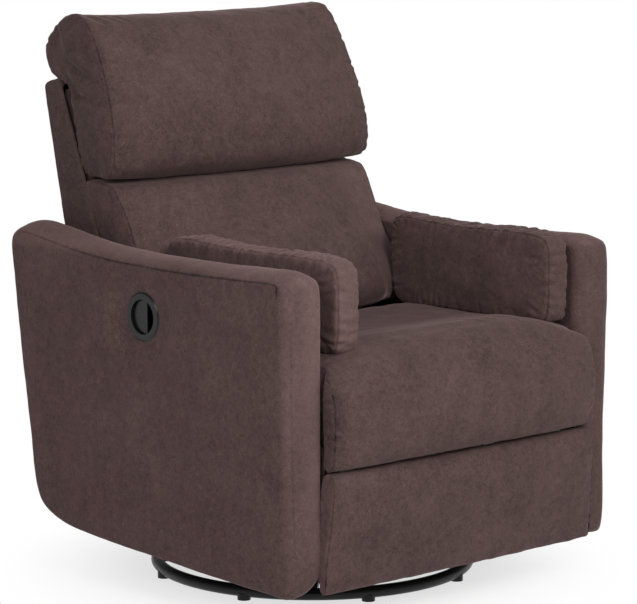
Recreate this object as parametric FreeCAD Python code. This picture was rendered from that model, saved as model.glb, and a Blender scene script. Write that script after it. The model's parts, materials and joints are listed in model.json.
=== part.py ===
"""Swivel glider recliner: a chair on a floor ring, with a footrest, a reclining back and two arm pillows.

Millimetres, +Z up, the sitter faces -Y. The origin is on the floor, on the swivel's axis.
"""
import FreeCAD, Part
import math
import os

V = FreeCAD.Vector
X_AXIS = V(1, 0, 0)
Y_AXIS = V(0, 1, 0)
Z_AXIS = V(0, 0, 1)

# Running fits and clearances
RUNNING_FIT = 0.05
SOFT_GAP = 0.4
PLATE_GAP = 2.0

# Half the width between the arms, which the seat, the back and the footrest fill
ARM_INNER = 315.0

# Floor ring
RING_R = 300.0
RING_TUBE_R = 11.0
GLIDE_H = 5.0
GLIDE_R = 12.0
GLIDE_COUNT = 8
GLIDE_LIP = 4.0
SPOKE_W = 40.0
SPOKE_H = 16.0
SPOKE_INNER_R = 24.0

# Swivel bearing
SWIVEL_R = 90.0
SWIVEL_PLATE = 5.0
RACE_R = 67.0
BALL_R = 5.0
BALL_COUNT = 12
RACE_DEPTH = 2.0
POST_R = 12.5
BOSS_R = 22.0
BOSS_H = 12.0
POST_PROUD = 2.0
NUT_GAP = 0.3
NUT_R = 20.0
NUT_H = 9.0

# Glide linkage
GLIDE_PIVOT_Y = 95.0
GLIDE_LINK_LENGTH = 120.0
GLIDE_LINK_TOP = 225.0
GLIDE_LINK_W = 24.0
GLIDE_PLATE = 5.0
HANGER_X = 222.5
HANGER_SAG = 12.0
HANGER_EDGE = 3.0
HANGER_FOOT = 10.0
HANGER_NECK = 14.0
HANGER_WINDOW_R = 20.0
HANGER_WINDOW_RISE = 38.0
BAR_EDGE_R = 3.0
CARRIAGE_BAR_Y = 70.0
CARRIAGE_BAR_W = 30.0
CARRIAGE_BAR_H = 20.0
PIVOT_R = 5.0
RIVET_HEAD_R = 8.0
RIVET_HEAD = 1.6
LINK_HEAD_R = 7.0
BACK_BOLT_R = 6.0
BACK_BOLT_HEAD_R = 9.0

# Chair base
BASE_RAIL_FRONT = -280.0
BASE_RAIL_REAR = 215.0
BASE_RAIL_H = 40.0
BASE_RAIL_FLANGE = 35.0
CROSS_BAR_W = 30.0
CROSS_BAR_H = 20.0
FRONT_BAR_Y = -262.0
REAR_BAR_Y = 185.0

# Arms
ARM_WIDTH = 79.0
ARM_FRONT = -375.0
ARM_BOTTOM = 65.0
ARM_FRONT_TOP = 620.0
ARM_NOSE_R = 30.0
ARM_EDGE_R = 24.0
ARM_EDGE_DROP = 20.0
ARM_FOOT_R = 12.0
ARM_TOP_MID_Y = 20.0
ARM_TOP_MID_Z = 616.0
ARM_REAR_TOP_Y = 352.0
ARM_REAR_TOP_Z = 646.0
ARM_REAR_CORNER = 36.0
ARM_REAR_Y = 386.0
ARM_REAR_LOW_Y = 331.0
ARM_REAR_LOW_Z = 146.0
ARM_HEEL_Y = 252.0
ARM_HEEL_Z = 98.0
PANEL_THICK = 18.0
PANEL_TO_CUP = 4.0
PANEL_INSET = 30.0
POCKET_GAP = 0.3

# Release cup in the right-hand arm of the sitter
CUP_Y = 10.0
CUP_Z = 508.0
CUP_R = 34.0
CUP_BEZEL_R = 44.0
CUP_BEZEL = 2.4
CUP_WALL = 3.0
CUP_BEZEL_SLANT = 2.9
CUP_DEPTH = 27.0
PADDLE_R = 29.5
PADDLE_THICK = 4.0
PADDLE_FRONT = 8.0
PADDLE_PIN_Y = 21.0
PADDLE_PIN_R = 1.6
PADDLE_SINK = 3.0
PADDLE_GRIP_R = 3.0
PADDLE_KNUCKLE = 2.2
PADDLE_ROOM = 0.5
PIN_END = 1.0
PIN_END_GAP = 0.2

# Seat box
SEAT_RAIL_BOTTOM = 300.0
SEAT_RAIL_H = 72.0
SEAT_RAIL_FRONT = -330.0
SEAT_RAIL_REAR = 190.0
SEAT_RAIL_THICK = 23.0
SIDE_PLATE = 4.0
SIDE_PLATE_TOP = 45.0
SIDE_PLATE_END = 22.0
SIDE_PLATE_LUG = 20.0
FRONT_RAIL_Y = -338.0
FRONT_RAIL_THICK = 20.0
FRONT_RAIL_BOTTOM = 306.0
REAR_RAIL_Y = 84.0
REAR_RAIL_THICK = 22.0
REAR_RAIL_H = 44.0
SPRING_COUNT = 5
SPRING_PITCH = 88.0
SPRING_WIRE = 3.6
SPRING_LOOP_W = 44.0
SPRING_LOOPS = 12

# Footrest linkage, as (Y, Z) pivots with the footrest stored
DRIVE_PIVOT = (-225.0, SEAT_RAIL_BOTTOM + 22.0)
KNEE_PIVOT = (-140.0, 128.0)
BRACKET_PIVOT = (-350.0, 245.0)
FOLLOWER_OFFSET = (42.0, -23.4)
TOGGLE_OFFSET = 30.0
LINK_PLATE = 4.0
LINK_W = 19.0
TOGGLE_W = 14.0
DRIVE_TUBE = 22.0
DRIVE_TUBE_WALL = 2.0
OPEN_PIVOT_GAP = 0.3
KNEE_HEAD_R = 6.8
TOGGLE_HEAD_R = 6.4
TUBE_EDGE_R = 2.0
TUBE_END_ROOM = 0.6

# Footrest
FOOT_BOARD_Y = -375.6
FOOT_BOARD_THICK = 12.0
FOOT_BOARD_MARGIN = 15.0
FOOT_BOARD_CORNER = 12.0
BRACKET_FLANGE = 3.0
BRACKET_HEIGHT = 100.0
BRACKET_MARGIN = 10.0
FOOT_BOARD_BOTTOM = 84.0
FOOT_BOARD_TOP = 258.0
FOOT_PAD_BACK = -376.0
FOOT_PAD_FRONT = -412.0
FOOT_PAD_TOP = 276.0
FOOT_PAD_BOTTOM = 64.0
FOOT_PAD_TOP_SPREAD = 4.0
FOOT_PAD_BOTTOM_SPREAD = 14.0
FOOT_PAD_EDGE = 14.0
FOOT_PAD_TUCK = 6.0

# Back
BACK_PIVOT = (165.0, SEAT_RAIL_BOTTOM + 20.0)
BACK_SLOPE = math.radians(22.1)
BACK_PLANE_Y = 238.0
BACK_PLANE_Z = 620.0
SHELL_SLOPE = math.radians(12.4)
SHELL_REAR_Y = 346.0
SHELL_REAR_Z = 634.0
SHELL_WALL = 10.0
SHELL_EDGE_R = 14.0
SHELL_PANEL_MARGIN = 8.0
SHELL_TOP = 899.0
SHELL_SIDE_BOTTOM = 392.0
SHELL_BOTTOM = 215.0
STILE_W = 24.0
STILE_DEPTH = 22.0
STILE_BOTTOM = 345.0
STILE_TOP_GAP = 9.0
BACK_RAIL_H = 50.0
BACK_RAIL_LOW_Z = 398.0
BACK_RAIL_MIDDLE_Z = 600.0
BACK_SPRING_COUNT = 4
BACK_SPRING_PITCH = 80.0
BACK_SPRING_Z = 480.0
BACK_SPRING_SKIP = 38.0
BACK_SPRING_W = 40.0
BACK_SPRING_WIRE = 3.0
BRACKET_TOP_RISE = 130.0

# Cushions
CUSHION_SIDE_GAP = 4.0
HEADREST_SIDE_GAP = 9.0
SEAT_UNDERSIDE = 5.0
SEAT_TOP = 464.0
SEAT_SIDE_TOP = 455.0
SEAT_REAR_Y = 100.0
ROLL_CREST = 487.0
ROLL_SIDE_CREST = 458.0
ROLL_FRONT = -428.0
ROLL_SIDE_DRAW = 14.0
ROLL_BOTTOM = 281.0
ROLL_MIDDLE_Z = 360.0
CHEEK_SPREAD = 6.0
CHEEK_DEPTH = 50.0
LUMBAR_BOTTOM = 456.0
LUMBAR_TOP = 720.0
LUMBAR_DEPTH = 190.0
HEADREST_GAP = 2.0
HEADREST_HEIGHT = 300.0
HEADREST_DEPTH = 164.0

# Loose arm pillows
PILLOW_LENGTH = 383.0
PILLOW_THICK = 74.0
PILLOW_HEIGHT = 164.0
PILLOW_REAR = 26.0
PILLOW_CROWN = 8.0
PILLOW_TOP_CROWN = 4.0
LEFT_PILLOW_BOTTOM = 464.4
LEFT_PILLOW_GAP = 11.0
RIGHT_PILLOW_BOTTOM = 466.5
RIGHT_PILLOW_GAP = 27.0

# Rear skirt below the back
SKIRT_Y = 286.0
SKIRT_THICK = 12.0
SKIRT_BOTTOM = 118.0
SKIRT_TOP = 206.0

# Values worked out from the ones above
ARM_OUTER = ARM_INNER + ARM_WIDTH
PANEL_X = ARM_OUTER - CUP_DEPTH - PANEL_TO_CUP - PANEL_THICK
SEAT_PLATFORM = SEAT_RAIL_BOTTOM + SEAT_RAIL_H
SIDE_PLATE_X = ARM_INNER - SEAT_RAIL_THICK - SIDE_PLATE
STILE_TOP = SHELL_TOP - SHELL_WALL - STILE_TOP_GAP
PILLOW_FRONT = PILLOW_REAR - PILLOW_LENGTH
SHELL_HALF = ARM_INNER - CUSHION_SIDE_GAP
CUSHION_HALF = ARM_INNER - CUSHION_SIDE_GAP
HEADREST_HALF = ARM_INNER - HEADREST_SIDE_GAP
FOOT_BOARD_HALF = ARM_INNER - FOOT_BOARD_MARGIN
RING_CENTRE_R = RING_R - RING_TUBE_R
RING_Z = GLIDE_H + RING_TUBE_R
SPOKE_TOP = RING_Z + SPOKE_H / 2
LOWER_PLATE_TOP = SPOKE_TOP + SWIVEL_PLATE
BALL_Z = LOWER_PLATE_TOP - RACE_DEPTH + BALL_R
UPPER_PLATE_BOTTOM = BALL_Z + BALL_R - RACE_DEPTH
UPPER_PLATE_TOP = UPPER_PLATE_BOTTOM + SWIVEL_PLATE
BOSS_TOP = UPPER_PLATE_TOP + BOSS_H
GLIDE_LINK_BOTTOM = GLIDE_LINK_TOP - GLIDE_LINK_LENGTH
GLIDE_LINK_X = HANGER_X + GLIDE_PLATE + PLATE_GAP
BASE_RAIL_X = GLIDE_LINK_X + GLIDE_PLATE + PLATE_GAP
BASE_RAIL_BOTTOM = GLIDE_LINK_BOTTOM - BASE_RAIL_H / 2
BASE_RAIL_TOP = GLIDE_LINK_BOTTOM + BASE_RAIL_H / 2
SEAT_RAIL_X = SIDE_PLATE_X + SIDE_PLATE
DRIVE_X = SIDE_PLATE_X - PLATE_GAP - LINK_PLATE
CARRIER_X = DRIVE_X - PLATE_GAP - LINK_PLATE
BACK_PLATE_X = DRIVE_X
STILE_X = BACK_PLATE_X - STILE_W

SIDES = (("left", 1), ("right", -1))


def save(name, shapes):
    """Write one node; a list of shapes becomes one node of separate solids."""
    shape = Part.makeCompound(shapes) if isinstance(shapes, list) else shapes
    for solid in shape.Solids:
        if not solid.isValid():
            print("invalid solid in", name)
    shape.exportStep("parts/%s.step" % name)
    print("%-22s solids %3d  volume %10.0f" % (name, len(shape.Solids), shape.Volume))


def box(x0, x1, y0, y1, z0, z1):
    corner = V(min(x0, x1), min(y0, y1), min(z0, z1))
    return Part.makeBox(abs(x1 - x0), abs(y1 - y0), abs(z1 - z0), corner)


def cyl_x(radius, x0, x1, y, z):
    return Part.makeCylinder(radius, abs(x1 - x0), V(min(x0, x1), y, z), X_AXIS)


def mirror_x(shape):
    return shape.mirror(V(0, 0, 0), X_AXIS)


def sided(shape, side):
    """A shape built for +X, or its mirror image for -X."""
    return shape if side > 0 else mirror_x(shape)


def both(shape):
    return [shape, mirror_x(shape)]


def edge_between(p, q, bulge, outward):
    """A line from p to q, or an arc that stands out by bulge at its middle, along outward."""
    if abs(bulge) < 1e-6:
        return Part.LineSegment(p, q).toShape()
    outward.normalize()
    return Part.Arc(p, (p + q) * 0.5 + outward * bulge, q).toShape()


def wire_yz(points, x):
    """A closed wire at one X, of (y, z) or (y, z, bulge): how far the edge after the point stands out to its left."""
    edges = []
    for i, point in enumerate(points):
        p = V(x, point[0], point[1])
        following = points[(i + 1) % len(points)]
        q = V(x, following[0], following[1])
        edges.append(edge_between(p, q, point[2] if len(point) > 2 else 0.0, V(0, p.z - q.z, q.y - p.y)))
    return Part.Wire(edges)


def wire_xy(points, z):
    """A closed wire at one Z, of (x, y, bulge): how far the edge after the point stands out to its right."""
    edges = []
    for i, point in enumerate(points):
        p = V(point[0], point[1], z)
        following = points[(i + 1) % len(points)]
        q = V(following[0], following[1], z)
        edges.append(edge_between(p, q, point[2], V(q.y - p.y, p.x - q.x, 0)))
    return Part.Wire(edges)


def plate_yz(points, x, thick):
    return Part.Face(wire_yz(points, x)).extrude(V(thick, 0, 0))


def slot_link(a, b, width, x, thick, hole_a, hole_b):
    """A flat link between pivots a and b, given as (y, z), with round ends and a hole at each."""
    start = V(x, a[0], a[1])
    end = V(x, b[0], b[1])
    along = end - start
    length = along.Length
    along.normalize()
    normal = V(0, -along.z, along.y) * (width / 2)
    reach = along * (width / 2)
    edges = [
        Part.LineSegment(start + normal, end + normal).toShape(),
        Part.Arc(end + normal, end + reach, end - normal).toShape(),
        Part.LineSegment(end - normal, start - normal).toShape(),
        Part.Arc(start - normal, start - reach, start + normal).toShape(),
    ]
    link = Part.Face(Part.Wire(edges)).extrude(V(thick, 0, 0))
    for pivot, radius in ((a, hole_a), (b, hole_b)):
        if radius:
            link = link.cut(cyl_x(radius, x - 1, x + thick + 1, pivot[0], pivot[1]))
    return link


def rivet(x0, x1, pivot, radius=PIVOT_R, head_r=RIVET_HEAD_R):
    """A rivet from x0 to x1 with a low head beyond each end."""
    shank = cyl_x(radius, x0, x1, pivot[0], pivot[1])
    outer = cyl_x(head_r, x1, x1 + RIVET_HEAD, pivot[0], pivot[1])
    inner = cyl_x(head_r, x0 - RIVET_HEAD, x0, pivot[0], pivot[1])
    return shank.fuse([outer, inner])


def loft(wires):
    return Part.makeLoft(wires, True, True)


def mix(first, second, share):
    """Point lists of one kind, mixed: share 0 gives the first, 1 the second."""
    return [tuple(a + (b - a) * share for a, b in zip(p, q)) for p, q in zip(first, second)]


def crowned_across(centre, side, half, stations):
    """A cushion lofted along X, fullest in the middle; a station is its share of half and its share of the side."""
    wires = []
    for x, share in [(-x, s) for x, s in reversed(stations)] + [(x, s) for x, s in stations if x > 0]:
        wires.append(wire_yz(mix(centre, side, share), x * half))
    return loft(wires)


def floor_ring():
    ring = Part.makeTorus(RING_CENTRE_R, RING_TUBE_R)
    ring.translate(V(0, 0, RING_Z))
    save("floor_ring", ring)
    seat = Part.makeTorus(RING_CENTRE_R, RING_TUBE_R + RUNNING_FIT)
    seat.translate(V(0, 0, RING_Z))
    glides = []
    for i in range(GLIDE_COUNT):
        angle = 2 * math.pi * (i + 0.5) / GLIDE_COUNT
        place = V(RING_CENTRE_R * math.cos(angle), RING_CENTRE_R * math.sin(angle), 0)
        glides.append(Part.makeCylinder(GLIDE_R, RING_Z - GLIDE_LIP, place).cut(seat))
    save("ring_glides", glides)
    spokes = []
    for i in range(4):
        spoke = box(SPOKE_INNER_R, RING_CENTRE_R, -SPOKE_W / 2, SPOKE_W / 2, SPOKE_TOP - SPOKE_H, SPOKE_TOP)
        spoke = spoke.cut(seat)
        outer = max(spoke.Solids, key=lambda s: s.Volume)
        outer.rotate(V(0, 0, 0), Z_AXIS, 45 + 90 * i)
        spokes.append(outer)
    save("ring_spokes", spokes)


def swivel():
    race = Part.makeTorus(RACE_R, BALL_R + RUNNING_FIT)
    race.translate(V(0, 0, BALL_Z))
    lower = Part.makeCylinder(SWIVEL_R, SWIVEL_PLATE, V(0, 0, SPOKE_TOP))
    lower = lower.fuse(Part.makeCylinder(POST_R, BOSS_TOP + NUT_H + POST_PROUD - SPOKE_TOP, V(0, 0, SPOKE_TOP)))
    save("swivel_lower_plate", lower.cut(race))
    balls = []
    for i in range(BALL_COUNT):
        angle = 2 * math.pi * i / BALL_COUNT
        balls.append(Part.makeSphere(BALL_R, V(RACE_R * math.cos(angle), RACE_R * math.sin(angle), BALL_Z)))
    save("bearing_balls", balls)
    upper = Part.makeCylinder(SWIVEL_R, SWIVEL_PLATE, V(0, 0, UPPER_PLATE_BOTTOM))
    upper = upper.fuse(Part.makeCylinder(BOSS_R, BOSS_H, V(0, 0, UPPER_PLATE_TOP)))
    bore = Part.makeCylinder(POST_R + RUNNING_FIT, BOSS_TOP, V(0, 0, 0))
    save("swivel_upper_plate", upper.cut([race, bore]))
    corners = []
    for i in range(7):
        angle = math.radians(60 * i)
        corners.append(V(NUT_R * math.cos(angle), NUT_R * math.sin(angle), BOSS_TOP + NUT_GAP))
    nut = Part.Face(Part.makePolygon(corners)).extrude(V(0, 0, NUT_H))
    save("swivel_nut", nut.cut(Part.makeCylinder(POST_R, BOSS_TOP + 2 * NUT_H)))


def glide_carriage():
    bars = []
    for y in (-CARRIAGE_BAR_Y, CARRIAGE_BAR_Y):
        bar = box(-HANGER_X, HANGER_X, y - CARRIAGE_BAR_W / 2, y + CARRIAGE_BAR_W / 2,
                  UPPER_PLATE_TOP, UPPER_PLATE_TOP + CARRIAGE_BAR_H)
        bars.append(bar.makeFillet(BAR_EDGE_R, [e for e in bar.Edges if abs(e.tangentAt(e.FirstParameter).x) > 0.9]))
    save("carriage_bars", bars)
    ear = GLIDE_LINK_W / 2 + HANGER_EDGE
    foot = CARRIAGE_BAR_Y + CARRIAGE_BAR_W / 2 + HANGER_FOOT
    low = UPPER_PLATE_TOP
    neck = GLIDE_PIVOT_Y - ear - HANGER_NECK
    saddle = GLIDE_LINK_TOP - ear - HANGER_SAG
    outline = [
        (-foot, low), (foot, low), (GLIDE_PIVOT_Y + ear, GLIDE_LINK_TOP, -ear), (GLIDE_PIVOT_Y - ear, GLIDE_LINK_TOP),
        (neck, saddle, HANGER_SAG), (-neck, saddle), (-GLIDE_PIVOT_Y + ear, GLIDE_LINK_TOP, -ear),
        (-GLIDE_PIVOT_Y - ear, GLIDE_LINK_TOP),
    ]
    hanger = plate_yz(outline, HANGER_X, GLIDE_PLATE)
    window = cyl_x(HANGER_WINDOW_R, HANGER_X - 1, HANGER_X + GLIDE_PLATE + 1, 0, low + HANGER_WINDOW_RISE)
    holes = [cyl_x(PIVOT_R + RUNNING_FIT, HANGER_X - 1, HANGER_X + GLIDE_PLATE + 1, y, GLIDE_LINK_TOP)
             for y in (-GLIDE_PIVOT_Y, GLIDE_PIVOT_Y)]
    hanger = hanger.cut([window] + holes)
    for name, side in SIDES:
        save("glide_hanger_" + name, sided(hanger, side))
    upper = []
    lower = []
    for y in (-GLIDE_PIVOT_Y, GLIDE_PIVOT_Y):
        upper += both(rivet(HANGER_X, GLIDE_LINK_X + GLIDE_PLATE + RUNNING_FIT, (y, GLIDE_LINK_TOP)))
        lower += both(rivet(GLIDE_LINK_X - RUNNING_FIT, BASE_RAIL_X + GLIDE_PLATE, (y, GLIDE_LINK_BOTTOM)))
    save("hanger_rivets", upper)
    save("base_rail_rivets", lower)
    for name, y in (("front", -GLIDE_PIVOT_Y), ("rear", GLIDE_PIVOT_Y)):
        link = slot_link((y, GLIDE_LINK_TOP), (y, GLIDE_LINK_BOTTOM), GLIDE_LINK_W, GLIDE_LINK_X, GLIDE_PLATE,
                         PIVOT_R + RUNNING_FIT, PIVOT_R + (OPEN_PIVOT_GAP if name == "front" else RUNNING_FIT))
        save("glide_links_" + name, both(link))


def chair_base():
    web = BASE_RAIL_X + GLIDE_PLATE
    rail = box(BASE_RAIL_X, web, BASE_RAIL_FRONT, BASE_RAIL_REAR, BASE_RAIL_BOTTOM, BASE_RAIL_TOP)
    flange = box(web, BASE_RAIL_X + BASE_RAIL_FLANGE, REAR_BAR_Y - 3 * CROSS_BAR_W, BASE_RAIL_REAR,
                 BASE_RAIL_TOP - GLIDE_PLATE, BASE_RAIL_TOP)
    holes = [cyl_x(PIVOT_R + RUNNING_FIT, BASE_RAIL_X - 1, BASE_RAIL_X + GLIDE_PLATE + 1, y, GLIDE_LINK_BOTTOM)
             for y in (-GLIDE_PIVOT_Y, GLIDE_PIVOT_Y)]
    rail = rail.fuse(flange).cut(holes)
    for name, side in SIDES:
        save("base_rail_" + name, sided(rail, side))
    for name, y, z in (("front", FRONT_BAR_Y, BASE_RAIL_BOTTOM - CROSS_BAR_H), ("rear", REAR_BAR_Y, BASE_RAIL_TOP)):
        bar = box(-ARM_INNER, ARM_INNER, y - CROSS_BAR_W / 2, y + CROSS_BAR_W / 2, z, z + CROSS_BAR_H)
        bar = bar.makeFillet(BAR_EDGE_R, [e for e in bar.Edges if abs(e.tangentAt(e.FirstParameter).x) > 0.9])
        save("cross_bar_" + name, bar)
    skirt = box(-ARM_INNER, ARM_INNER, SKIRT_Y, SKIRT_Y + SKIRT_THICK, SKIRT_BOTTOM, SKIRT_TOP)
    save("rear_skirt", skirt.makeFillet(4, [e for e in skirt.Edges if abs(e.tangentAt(e.FirstParameter).x) > 0.9]))


def arm_outline(inset, low_inset):
    """The arm's side view, moved inwards by inset, and by low_inset along its foot."""
    front = ARM_FRONT + inset
    bottom = ARM_BOTTOM + low_inset
    top = ARM_FRONT_TOP - inset
    nose = ARM_NOSE_R - inset * 0.4
    foot = ARM_FOOT_R
    quarter = 1 - math.sqrt(0.5)
    return [
        (front, top - nose, nose * quarter),
        (front + nose, top, 0.0),
        (ARM_TOP_MID_Y, ARM_TOP_MID_Z - inset, -3.0),
        (ARM_REAR_TOP_Y - inset, ARM_REAR_TOP_Z - inset, 10.0),
        (ARM_REAR_Y - inset, ARM_REAR_TOP_Z - ARM_REAR_CORNER - inset, 6.0),
        (ARM_REAR_LOW_Y - inset, ARM_REAR_LOW_Z + low_inset, 20.0),
        (ARM_HEEL_Y - inset, ARM_HEEL_Z + low_inset, 4.0),
        (front + foot, bottom, foot * quarter),
        (front, bottom + foot, 0.0),
    ]


def arms():
    thick = ARM_OUTER - ARM_INNER
    rounding = [(0.0, 1.0), (0.1, 0.56), (0.33, 0.2), (0.7, 0.03), (1.2, 0.0)]
    stations = [(ARM_INNER + share * ARM_EDGE_R, drop * ARM_EDGE_DROP) for share, drop in rounding]
    stations += [(2 * ARM_INNER + thick - x, drop) for x, drop in reversed(stations)]
    shell = loft([wire_yz(arm_outline(drop, drop * 0.4), x) for x, drop in stations])
    panel = plate_yz(arm_outline(PANEL_INSET, PANEL_INSET), PANEL_X, PANEL_THICK)
    pocket_inset = PANEL_INSET - POCKET_GAP
    pocket = plate_yz(arm_outline(pocket_inset, pocket_inset), PANEL_X - POCKET_GAP, PANEL_THICK + 2 * POCKET_GAP)
    cup_hole = cyl_x(CUP_R + SOFT_GAP, ARM_OUTER - CUP_DEPTH - 1, ARM_OUTER + 5, CUP_Y, CUP_Z)
    for name, side in SIDES:
        cover = shell.cut([pocket, cup_hole]) if side < 0 else shell.cut(pocket)
        save("arm_cover_" + name, sided(cover, side))
        save("arm_frame_" + name, sided(panel, side))


def release_cup():
    """Built for +X, then mirrored to the sitter's right arm."""
    face = ARM_OUTER + SOFT_GAP
    body = cyl_x(CUP_R, face - CUP_DEPTH, face, CUP_Y, CUP_Z)
    bezel = Part.makeCone(CUP_BEZEL_R, CUP_BEZEL_R - CUP_BEZEL_SLANT, CUP_BEZEL, V(face, CUP_Y, CUP_Z), X_AXIS)
    bowl = cyl_x(CUP_R - CUP_WALL, face - CUP_DEPTH + CUP_WALL, face + 10, CUP_Y, CUP_Z)
    pin_x = face - PADDLE_SINK - PADDLE_THICK
    pin_y = CUP_Y + PADDLE_PIN_Y
    half = math.sqrt((CUP_R - CUP_WALL) ** 2 - PADDLE_PIN_Y ** 2)
    end = half + PIN_END
    pin = Part.makeCylinder(PADDLE_PIN_R, 2 * end, V(pin_x, pin_y, CUP_Z - end))
    end += PIN_END_GAP
    socket = Part.makeCylinder(PADDLE_PIN_R + RUNNING_FIT, 2 * end, V(pin_x, pin_y, CUP_Z - end))
    save("release_cup", mirror_x(body.fuse(bezel).cut([bowl, socket])))
    save("paddle_pin", mirror_x(pin))
    outer = face - PADDLE_SINK
    disc = cyl_x(PADDLE_R, outer - PADDLE_THICK, outer, CUP_Y, CUP_Z)
    edge_y = CUP_Y - PADDLE_FRONT
    reach = PADDLE_R + 1
    disc = disc.common(box(outer - PADDLE_THICK, outer, edge_y, CUP_Y + PADDLE_R, CUP_Z - reach, CUP_Z + reach))
    grip_half = PADDLE_R - 2 * PADDLE_GRIP_R
    grip = Part.makeCylinder(PADDLE_GRIP_R, 2 * grip_half,
                             V(outer - PADDLE_THICK + 1, edge_y + PADDLE_GRIP_R, CUP_Z - grip_half))
    knuckle_r = PADDLE_PIN_R + PADDLE_KNUCKLE
    knuckle_half = math.sqrt((CUP_R - CUP_WALL - PADDLE_ROOM) ** 2 - (PADDLE_PIN_Y + knuckle_r) ** 2)
    knuckle = Part.makeCylinder(knuckle_r, 2 * knuckle_half, V(pin_x, pin_y, CUP_Z - knuckle_half))
    paddle = disc.fuse([knuckle, grip])
    bore = Part.makeCylinder(PADDLE_PIN_R + RUNNING_FIT, 2 * half + 4, V(pin_x, pin_y, CUP_Z - half - 2))
    save("release_paddle", mirror_x(paddle.cut(bore)))


def sinuous_spring(length, loops, width, wire):
    """A flat zigzag spring along +Y in the XY plane, lying on Z 0: half-round bends joined by straight bars."""
    step = length / loops
    outer = step / 2 + wire / 2
    inner = step / 2 - wire / 2
    pieces = []
    for i in range(loops + 1):
        y = i * step
        pieces.append(box(-width / 2 + step / 2, width / 2 - step / 2, y - wire / 2, y + wire / 2, 0, wire))
    for i in range(loops):
        side = 1 if i % 2 == 0 else -1
        centre = V(side * (width / 2 - step / 2), (i + 0.5) * step, 0)
        bend = Part.makeCylinder(outer, wire, centre).cut(Part.makeCylinder(inner, wire, centre))
        keep = box(centre.x, centre.x + side * (outer + 1), centre.y - outer - 1, centre.y + outer + 1, -1, wire + 1)
        pieces.append(bend.common(keep))
    return pieces[0].fuse(pieces[1:]).removeSplitter()


def seat_box():
    rail = box(SEAT_RAIL_X, ARM_INNER, SEAT_RAIL_FRONT, SEAT_RAIL_REAR, SEAT_RAIL_BOTTOM, SEAT_PLATFORM)
    for name, side in SIDES:
        save("seat_rail_" + name, sided(rail, side))
    follower = (DRIVE_PIVOT[0] + FOLLOWER_OFFSET[0], DRIVE_PIVOT[1] + FOLLOWER_OFFSET[1])
    outline = [
        (DRIVE_PIVOT[0] - SIDE_PLATE_END, SEAT_RAIL_BOTTOM + 8), (follower[0] - 6, follower[1] - SIDE_PLATE_LUG),
        (follower[0] + 26, follower[1] - SIDE_PLATE_LUG), (follower[0] + 3 * SIDE_PLATE_LUG, SEAT_RAIL_BOTTOM),
        (BACK_PIVOT[0] + SIDE_PLATE_END, SEAT_RAIL_BOTTOM),
        (BACK_PIVOT[0] + SIDE_PLATE_END, SEAT_RAIL_BOTTOM + SIDE_PLATE_TOP),
        (DRIVE_PIVOT[0] - SIDE_PLATE_END, SEAT_RAIL_BOTTOM + SIDE_PLATE_TOP),
    ]
    plate = plate_yz(outline, SIDE_PLATE_X, SIDE_PLATE)
    outer_face = SIDE_PLATE_X + SIDE_PLATE
    for pivot, radius, head_r in ((DRIVE_PIVOT, PIVOT_R, LINK_HEAD_R), (follower, PIVOT_R, LINK_HEAD_R),
                                  (BACK_PIVOT, BACK_BOLT_R, BACK_BOLT_HEAD_R)):
        hole = cyl_x(radius + RUNNING_FIT, SIDE_PLATE_X - 1, outer_face + 1, *pivot)
        counterbore = cyl_x(head_r + RUNNING_FIT, outer_face - RIVET_HEAD, outer_face + 1, *pivot)
        plate = plate.cut([hole, counterbore])
    for name, side in SIDES:
        save("side_plate_" + name, sided(plate, side))
    front = box(-SEAT_RAIL_X, SEAT_RAIL_X, FRONT_RAIL_Y, FRONT_RAIL_Y + FRONT_RAIL_THICK,
                FRONT_RAIL_BOTTOM, SEAT_PLATFORM)
    front = front.cut([box(side * SEAT_RAIL_X, side * SIDE_PLATE_X, SEAT_RAIL_FRONT, 0, 0, SEAT_PLATFORM + 1)
                       for side in (1, -1)])
    rear = box(-SIDE_PLATE_X, SIDE_PLATE_X, REAR_RAIL_Y, REAR_RAIL_Y + REAR_RAIL_THICK,
               SEAT_PLATFORM - REAR_RAIL_H, SEAT_PLATFORM)
    save("seat_front_rail", front)
    save("seat_rear_rail", rear)
    springs = []
    start = FRONT_RAIL_Y + FRONT_RAIL_THICK / 2
    length = REAR_RAIL_Y + REAR_RAIL_THICK / 2 - start
    for i in range(SPRING_COUNT):
        spring = sinuous_spring(length, SPRING_LOOPS, SPRING_LOOP_W, SPRING_WIRE)
        spring.translate(V((i - (SPRING_COUNT - 1) / 2) * SPRING_PITCH, start, SEAT_PLATFORM))
        springs.append(spring)
    save("seat_springs", springs)


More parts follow.
